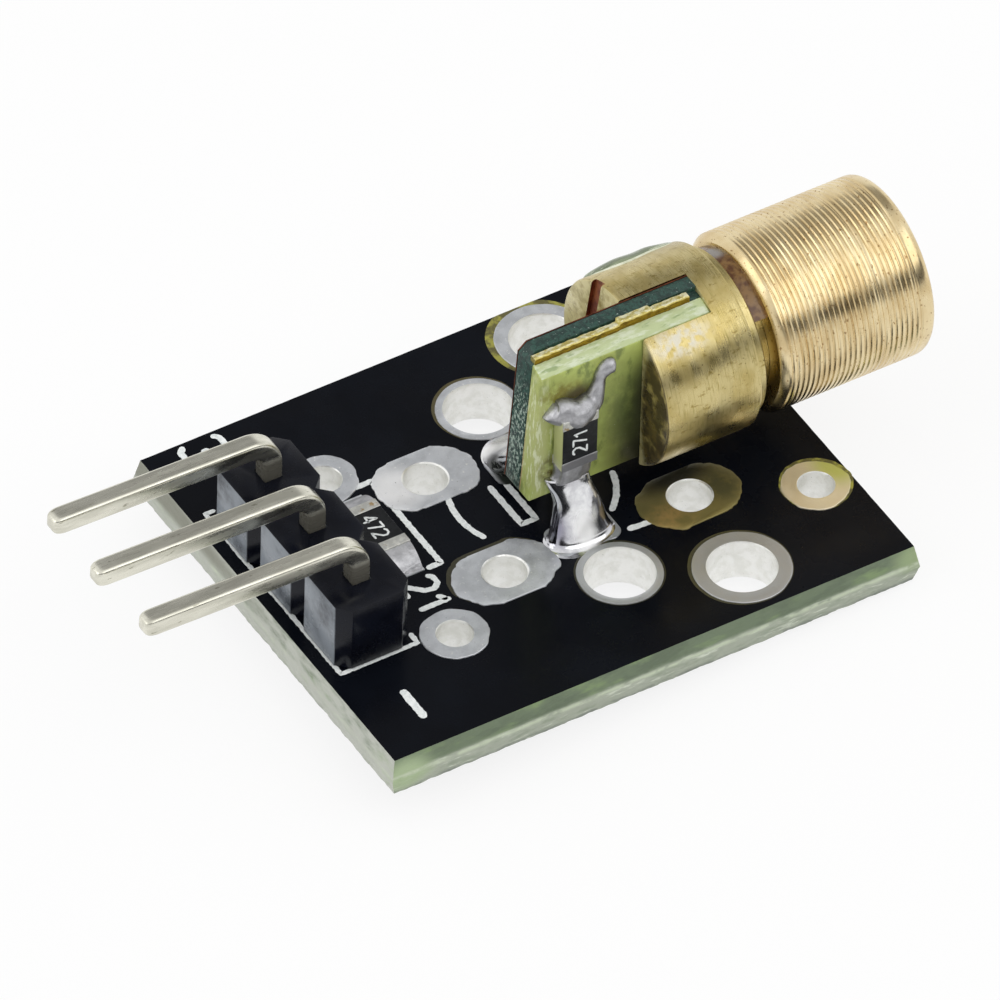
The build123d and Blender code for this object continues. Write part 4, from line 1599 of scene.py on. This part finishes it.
    def build(self) -> None:
        """Build and dress the solder."""
        driver = self.blob().add(self.lump(self.cushion))
        pieces = (
            ("near_fillet", self.lump(self.near), Surface.BRIGHT_SOLDER, "near_solder_fillet"),
            ("far_fillet", self.lump(self.far), Surface.BRIGHT_SOLDER, "far_solder_fillet"),
            ("driver_solder", driver, Surface.DULL_SOLDER, "driver_resistor_solder"),
        )
        for name, shape, surface, node in pieces:
            place_piece(name, shape, [surface], [node], self.sharp_deg)
        dress_node("board_resistor_solder", Surface.DULL_SOLDER)


@dataclass
class LaserHead:
    """The turned brass head: sawn housing, ringed cap, lens, spring, sealant and glue.

    The section of a ring's groove is a list of places, each a share of its width and a
    share of its depth.
    """

    turns: int = 192
    axis_pit: float = 0.02
    housing_radius: float = 3.0
    housing_edge: float = 0.08
    edge_crown: float = 0.3
    housing_sharp_deg: float = 30.0
    shoulder_radius: float = 2.72
    shoulder_length: float = 0.33
    shoulder_root: float = 0.03
    shoulder_bevel: float = 0.04
    body_length: float = 3.35
    neck_radius: float = 2.1
    bore_radius: float = 1.5
    bore_setback: float = 1.0
    slot_clearance: float = 0.03
    saw_reach: float = 4.0
    saw_overrun: float = 1.0
    notch_y: Flat = (0.9, 1.39)
    notch_depth: float = 0.14
    notch_floor: float = 0.9
    notch_lean: float = 0.17
    cap_radius: float = 2.9
    cap_sharp_deg: float = 40.0
    cap_rear_bevel: float = 0.25
    cap_rear_lip: Flat = (0.02, 0.05)
    cap_rear_crown: Flat = (0.04, 0.03)
    cap_front_round: float = 0.28
    cap_front_steps: int = 6
    cap_bore_radius: float = 2.12
    aperture_radius: float = 1.5
    aperture_bevel: float = 0.2
    front_wall: float = 0.5
    ring_count: int = 26
    ring_pitch: float = 0.182
    ring_start: float = 0.3
    ring_depth: float = 0.04
    ring_width: float = 0.095
    ring_crest: float = 0.003
    ring_uneven: float = 0.35
    ring_spread: float = 1.7
    ring_slice: Flat = (0.3, 0.1)
    groove_section: tuple[Flat, ...] = ((0, 0), (0.2, 0.55), (0.4, 1), (0.6, 1), (0.8, 0.55), (1, 0))
    bead_span: Flat = (-0.82, 2.15)
    bead_steps: int = 32
    bead_facets: int = 12
    bead_angle_deg: float = 41.0
    bead_waver_deg: float = 4.0
    bead_drift: float = 0.9
    bead_drift_slice: Flat = (5.1, 0.4)
    bead_half_width_deg: float = 13.0
    bead_least_width: float = 0.4
    bead_height: float = 0.23
    bead_ripple: float = 0.2
    bead_wave: float = 1.5
    bead_slice: Flat = (0.2, 0.4)
    bead_end_power: float = 0.5
    bead_fade: float = 0.3
    bead_edge_sink: float = 0.01
    bead_root_sink: float = 0.05
    bead_sharp_deg: float = 60.0
    bead_lip: int = 11

    def __post_init__(self) -> None:
        """Read the head's places from the frame."""
        self.rear, self.front = box_mm("laser_housing")
        self.axis_z = (self.rear.z + self.front.z) / 2
        self.cap_low, self.cap_high = box_mm("lens_cap")

    def lathe(self, profile: Iterable[Flat]) -> Shape:
        """Turn a closed profile round the head's axis.

        Args:
            profile: Its points, each a place along the axis and a radius.

        Returns:
            The turned shape.
        """
        turns = [2 * math.pi * k / self.turns for k in range(self.turns)]
        rings = [
            [(x, radius * math.cos(t), self.axis_z + radius * math.sin(t)) for t in turns]
            for x, radius in profile
        ]
        return skin(rings, loop=True)

    def cut(
        self,
        blank: bpy.types.Object,
        low: Point,
        high: Point,
        surface: Surface,
        lean: float = 0.0,
    ) -> None:
        """Saw a box out of a blank.

        Args:
            blank: The turned blank.
            low: The cutter's lowest corner.
            high: Its highest corner.
            surface: The finish of the faces that the saw leaves.
            lean: How far the walls on both sides lean to the near side for each millimetre up.
        """
        rings = []
        for z in (low[2], high[2]):
            shift = lean * (z - self.axis_z - self.housing_radius)
            near, far = low[1] - shift, high[1] - shift
            rings.append([(low[0], near, z), (high[0], near, z), (high[0], far, z), (low[0], far, z)])
        shape = skin(rings)
        mesh = bpy.data.meshes.new("saw")
        mesh.from_pydata([Vector(p) * MM for p in shape.points], [], shape.faces)
        mesh.materials.append(surface.paint())
        cutter = bpy.data.objects.new("saw", mesh)
        bpy.context.scene.collection.objects.link(cutter)
        saw = blank.modifiers.new("saw", "BOOLEAN")
        saw.operation = "DIFFERENCE"
        saw.solver = "EXACT"
        saw.material_mode = "TRANSFER"
        saw.object = cutter
        bpy.context.view_layer.update()
        evaluated = blank.evaluated_get(bpy.context.evaluated_depsgraph_get())
        sawn = bpy.data.meshes.new_from_object(evaluated)
        blank.modifiers.clear()
        old, blank.data = blank.data, sawn
        bpy.data.meshes.remove(old)
        bpy.data.objects.remove(cutter)

    def housing(self) -> None:
        """Build the housing: turned, then sawn from the rear and notched."""
        rear, front = self.rear.x, self.front.x
        radius, shoulder = self.housing_radius, self.shoulder_radius
        edge, root, bevel = self.housing_edge, self.shoulder_root, self.shoulder_bevel
        crown = edge * self.edge_crown
        body_end = rear + self.body_length
        shoulder_end = body_end + self.shoulder_length
        slot_end = box_mm("laser_board")[1].x
        floor = slot_end - self.bore_setback
        profile = [
            (rear, self.axis_pit), (rear, radius - edge),
            (rear + crown, radius - crown), (rear + edge, radius),
            (body_end - edge, radius), (body_end - crown, radius - crown), (body_end, radius - edge),
            (body_end, shoulder + root), (body_end + root, shoulder),
            (shoulder_end - bevel, shoulder), (shoulder_end, shoulder - bevel),
            (shoulder_end, self.neck_radius), (front, self.neck_radius),
            (front, self.bore_radius), (floor, self.bore_radius), (floor, self.axis_pit),
        ]
        turned = self.lathe(profile)
        blank = place_piece("housing_turned", turned, [Surface.HOUSING_BRASS],
                            ["laser_housing"])
        near_y = box_mm("driver_board")[0].y - self.slot_clearance
        far_y = box_mm("laser_board_foil")[1].y + self.slot_clearance
        over, under = self.axis_z + self.saw_reach, self.axis_z - self.saw_reach
        start = rear - self.saw_overrun
        self.cut(blank, (start, near_y, under), (slot_end, far_y, over), Surface.HOUSING_BRASS)
        notch_low = (start, self.notch_y[0], self.axis_z + self.notch_floor)
        notch_high = (rear + self.notch_depth, self.notch_y[1], over)
        # The notch's faces take the painted red-brown shade
        self.cut(blank, notch_low, notch_high, Surface.STAINED_BRASS, self.notch_lean)
        blank.data.shade_smooth()
        blank.data.set_sharp_from_angle(angle=math.radians(self.housing_sharp_deg))

    def cap_profile(self) -> list[Flat]:
        """Give the cap's section, with a shallow round-bottomed groove for each ring.

        Returns:
            Its points, each a place along the axis and a radius.
        """
        rear, front, radius = self.cap_low.x, self.cap_high.x, self.cap_radius
        bevel, (lip_x, lip_rise), (crown_x, crown_drop) = (
            self.cap_rear_bevel, self.cap_rear_lip, self.cap_rear_crown,
        )
        outer = [(rear, radius - bevel), (rear + lip_x, radius - bevel + lip_rise)]
        outer += [(rear + bevel - crown_x, radius - crown_drop), (rear + bevel, radius)]
        for i in range(self.ring_count):
            x = rear + self.ring_start + i * self.ring_pitch
            bump = noise.noise(Vector((i * self.ring_spread, *self.ring_slice)))
            depth = self.ring_depth * (1 + self.ring_uneven * bump)
            for share, sink in self.groove_section:
                outer.append((x + share * self.ring_width, radius - sink * depth))
            outer.append((x + (self.ring_width + self.ring_pitch) / 2, radius + self.ring_crest))
        edge = self.cap_front_round
        for k in range(self.cap_front_steps + 1):
            turn = math.pi / 2 * k / self.cap_front_steps
            outer.append((front - edge + edge * math.sin(turn), radius - edge + edge * math.cos(turn)))
        bore, wall = self.cap_bore_radius, front - self.front_wall
        inner = [(front, self.aperture_radius + self.aperture_bevel)]
        inner += [(front - self.aperture_bevel, self.aperture_radius), (wall, self.aperture_radius)]
        inner += [(wall, bore), (rear, bore)]
        return outer + inner

    def glue(self) -> None:
        """Build the sliver of clear glue that lies along the far upper side of the housing."""
        start, end = self.bead_span
        least = self.bead_least_width
        rings = []
        for k in range(self.bead_steps + 1):
            share = k / self.bead_steps
            x = start + (end - start) * share
            swell = math.sin(math.pi * share) ** self.bead_end_power * (1 - self.bead_fade * share)
            bump = noise.noise(Vector((x * self.bead_wave, *self.bead_slice)))
            height = self.bead_height * swell * (1 + self.bead_ripple * bump)
            drift = noise.noise(Vector((x * self.bead_drift, *self.bead_drift_slice)))
            middle = self.bead_angle_deg + self.bead_waver_deg * drift
            half_width = self.bead_half_width_deg * (least + (1 - least) * swell)
            ring = []
            for j in range(self.bead_facets + 1):
                across = -1 + 2 * j / self.bead_facets
                turn = math.radians(middle + across * half_width)
                radius = self.housing_radius - self.bead_edge_sink + height * (1 - across**2)
                ring.append((x, radius * math.cos(turn), self.axis_z + radius * math.sin(turn)))
            sunk = self.housing_radius - self.bead_root_sink
            turn = math.radians(middle)
            ring.append((x, sunk * math.cos(turn), self.axis_z + sunk * math.sin(turn)))
            rings.append(ring)
        bead = skin(rings)
        around = len(rings[0])
        # The lip facet takes the glue's painted highlight
        for i, face in enumerate(bead.faces[:-2]):
            bead.tones[i] = int(face[0] % around == self.bead_lip)
        place_piece("glue_sliver", bead, [Surface.CLEAR_GLUE, Surface.GLUE_LIP],
                    ["glue_bead"], self.bead_sharp_deg)

    def build(self) -> None:
        """Build and dress the head."""
        self.housing()
        cap = self.lathe(self.cap_profile())
        place_piece("cap_turned", cap, [Surface.CAP_BRASS], ["lens_cap"], self.cap_sharp_deg)
        self.glue()
        dress_node("collimating_lens", Surface.OPTICAL_ACRYLIC)
        dress_node("lens_spring", Surface.SPRING_STEEL)
        dress_node("thread_sealant", Surface.SEALANT)


@dataclass(frozen=True)
class Softbox:
    """A soft light: its name, place, width and height, and how bright its face is.

    A face with a radiance of 1 renders white.
    """

    name: str
    place_mm: Point
    size_mm: Flat
    radiance: float


@dataclass
class Studio:
    """A pale floor, soft light, and the camera where the photograph was taken."""

    camera_mm: Point = (-286.9, -442.63, 513.03)
    target_mm: Point = (-4.769, 0.422, 1.4)
    roll_deg: float = 1.689
    lens_mm: float = 879.13
    sensor_mm: float = 36.0
    nearest_m: float = 0.01
    farthest_m: float = 20.0
    rest_rear_mm: Flat = (-11.81, -1.15)
    rest_front_mm: Flat = (4.86, -0.04)
    floor_size_mm: float = 4000.0
    floor_colour: str = "#f6f6f6"
    white: str = "#ffffff"
    floor_glow: float = 0.85
    sky: float = 0.95
    far_sky: float = 0.36
    far_sky_way: Point = (0.385, 0.604, 0.698)
    far_sky_cosines: Flat = (0.88, 0.95)
    dark_band: float = 0.04
    dark_band_edges: tuple[tuple[str, float, float], ...] = (
        ("Z", 0.12, 0.17), ("Z", 0.5, 0.42), ("Y", -0.35, -0.6),
    )
    softboxes: tuple[Softbox, ...] = (
        Softbox("front_softbox", (125.0, -265.0, 330.0), (500.0, 280.0), 0.9),
        Softbox("left_softbox", (-420.0, 120.0, 240.0), (300.0, 300.0), 1.2),
    )

    def camera(self) -> None:
        """Place the camera."""
        data = bpy.data.cameras.new("camera")
        data.sensor_width = self.sensor_mm
        data.lens = self.lens_mm
        data.clip_start, data.clip_end = self.nearest_m, self.farthest_m
        camera = bpy.data.objects.new("camera", data)
        place, target = Vector(self.camera_mm) * MM, Vector(self.target_mm) * MM
        camera.location = place
        camera.rotation_euler = (target - place).to_track_quat("-Z", "Y").to_euler()
        camera.rotation_euler.rotate_axis("Z", math.radians(self.roll_deg))
        bpy.context.scene.collection.objects.link(camera)
        bpy.context.scene.camera = camera

    def floor(self) -> None:
        """Lay the floor under the pin tails and the board's front edge."""
        (x0, z0), (x1, z1) = self.rest_rear_mm, self.rest_front_mm
        slope = (z1 - z0) / (x1 - x0)
        half = self.floor_size_mm / 2
        flat = [(-half, -half), (half, -half), (half, half), (-half, half)]
        mesh = bpy.data.meshes.new("floor")
        corners = [Vector((x, y, z0 + slope * (x - x0))) * MM for x, y in flat]
        mesh.from_pydata(corners, [], [(0, 1, 2, 3)])
        floor = bpy.data.objects.new("floor", mesh)
        bpy.context.scene.collection.objects.link(floor)
        paper = bpy.data.materials.new("white_paper")
        paper.use_nodes = True
        tree = paper.node_tree
        tree.nodes.clear()
        path = add_node(tree, "LightPath")
        seen = path, "Is Camera Ray"
        for kind in ("Is Glossy Ray", "Is Transmission Ray"):
            seen = add_node(tree, "Math", {"operation": "MAXIMUM"}, {0: seen, 1: (path, kind)}), 0
        share = add_node(tree, "Math", MULTIPLY, {0: seen, 1: self.floor_glow})
        sheet = add_node(tree, "BsdfDiffuse", inputs={"Color": linear(self.floor_colour)})
        glow = add_node(tree, "Emission", inputs={"Color": linear(self.white), "Strength": 1.0})
        both = add_node(tree, "MixShader", inputs={0: (share, 0), 1: (sheet, 0), 2: (glow, 0)})
        add_node(tree, "OutputMaterial", inputs={"Surface": (both, 0)})
        mesh.materials.append(paper)

    def world(self) -> None:
        """Light the scene from all round.

        The sky is dim past the module, where flat faces mirror it, and a dark
        band lies low in front, which draws the dark line along the turned brass.
        """
        world = bpy.data.worlds.new("studio")
        bpy.context.scene.world = world
        world.use_nodes = True
        tree = world.node_tree
        tree.nodes.clear()
        path = add_node(tree, "LightPath")
        place = add_node(tree, "TexCoord")
        parts = add_node(tree, "SeparateXYZ", inputs={0: (place, "Generated")})
        way = {0: (place, "Generated"), 1: self.far_sky_way}
        past = add_node(tree, "VectorMath", DOT_PRODUCT, way)
        start, end = self.far_sky_cosines
        ends = {
            "Value": (past, "Value"), "From Min": start, "From Max": end,
            "To Min": self.sky, "To Max": self.far_sky,
        }
        level = add_node(tree, "MapRange", SMOOTH, ends), 0
        band = None
        for axis, start, end in self.dark_band_edges:
            ends = {"Value": (parts, axis), "From Min": start, "From Max": end}
            part = add_node(tree, "MapRange", SMOOTH, ends), 0
            band = (add_node(tree, "Math", MULTIPLY, {0: band, 1: part}), 0) if band else part
        mixed = {SHARE: band, NUMBER_A: level, NUMBER_B: self.dark_band}
        level = add_node(tree, "Mix", MIX_NUMBERS, mixed), 0
        seen = {SHARE: (path, "Is Camera Ray"), NUMBER_A: level, NUMBER_B: 1.0}
        level = add_node(tree, "Mix", MIX_NUMBERS, seen), 0
        light = add_node(tree, "Background", inputs={"Color": linear(self.white), "Strength": level})
        add_node(tree, "OutputWorld", inputs={"Surface": (light, 0)})

    def hang(self, box: Softbox) -> None:
        """Hang one soft light that faces the module.

        Args:
            box: The light.
        """
        data = bpy.data.lights.new(box.name, "AREA")
        data.shape = "RECTANGLE"
        data.size, data.size_y = box.size_mm[0] * MM, box.size_mm[1] * MM
        data.energy = box.radiance * math.pi * data.size * data.size_y
        light = bpy.data.objects.new(box.name, data)
        light.location = Vector(box.place_mm) * MM
        light.rotation_euler = (-light.location).to_track_quat("-Z", "Y").to_euler()
        bpy.context.scene.collection.objects.link(light)

    def build(self) -> None:
        """Build the studio."""
        bpy.context.scene.view_settings.view_transform = "Standard"
        self.camera()
        self.floor()
        self.world()
        for box in self.softboxes:
            self.hang(box)


def main() -> None:
    """Build the module and the studio."""
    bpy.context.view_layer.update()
    CircuitBoard().build()
    BoardPrint().build()
    PinHeader().build()
    ChipResistor(Carrier.BOARD, "472").build()
    ChipResistor(Carrier.DRIVER, "271").build()
    UprightBoards().build()
    SolderWork().build()
    LaserHead().build()
    Studio().build()


if __name__ == "__main__":
    main()
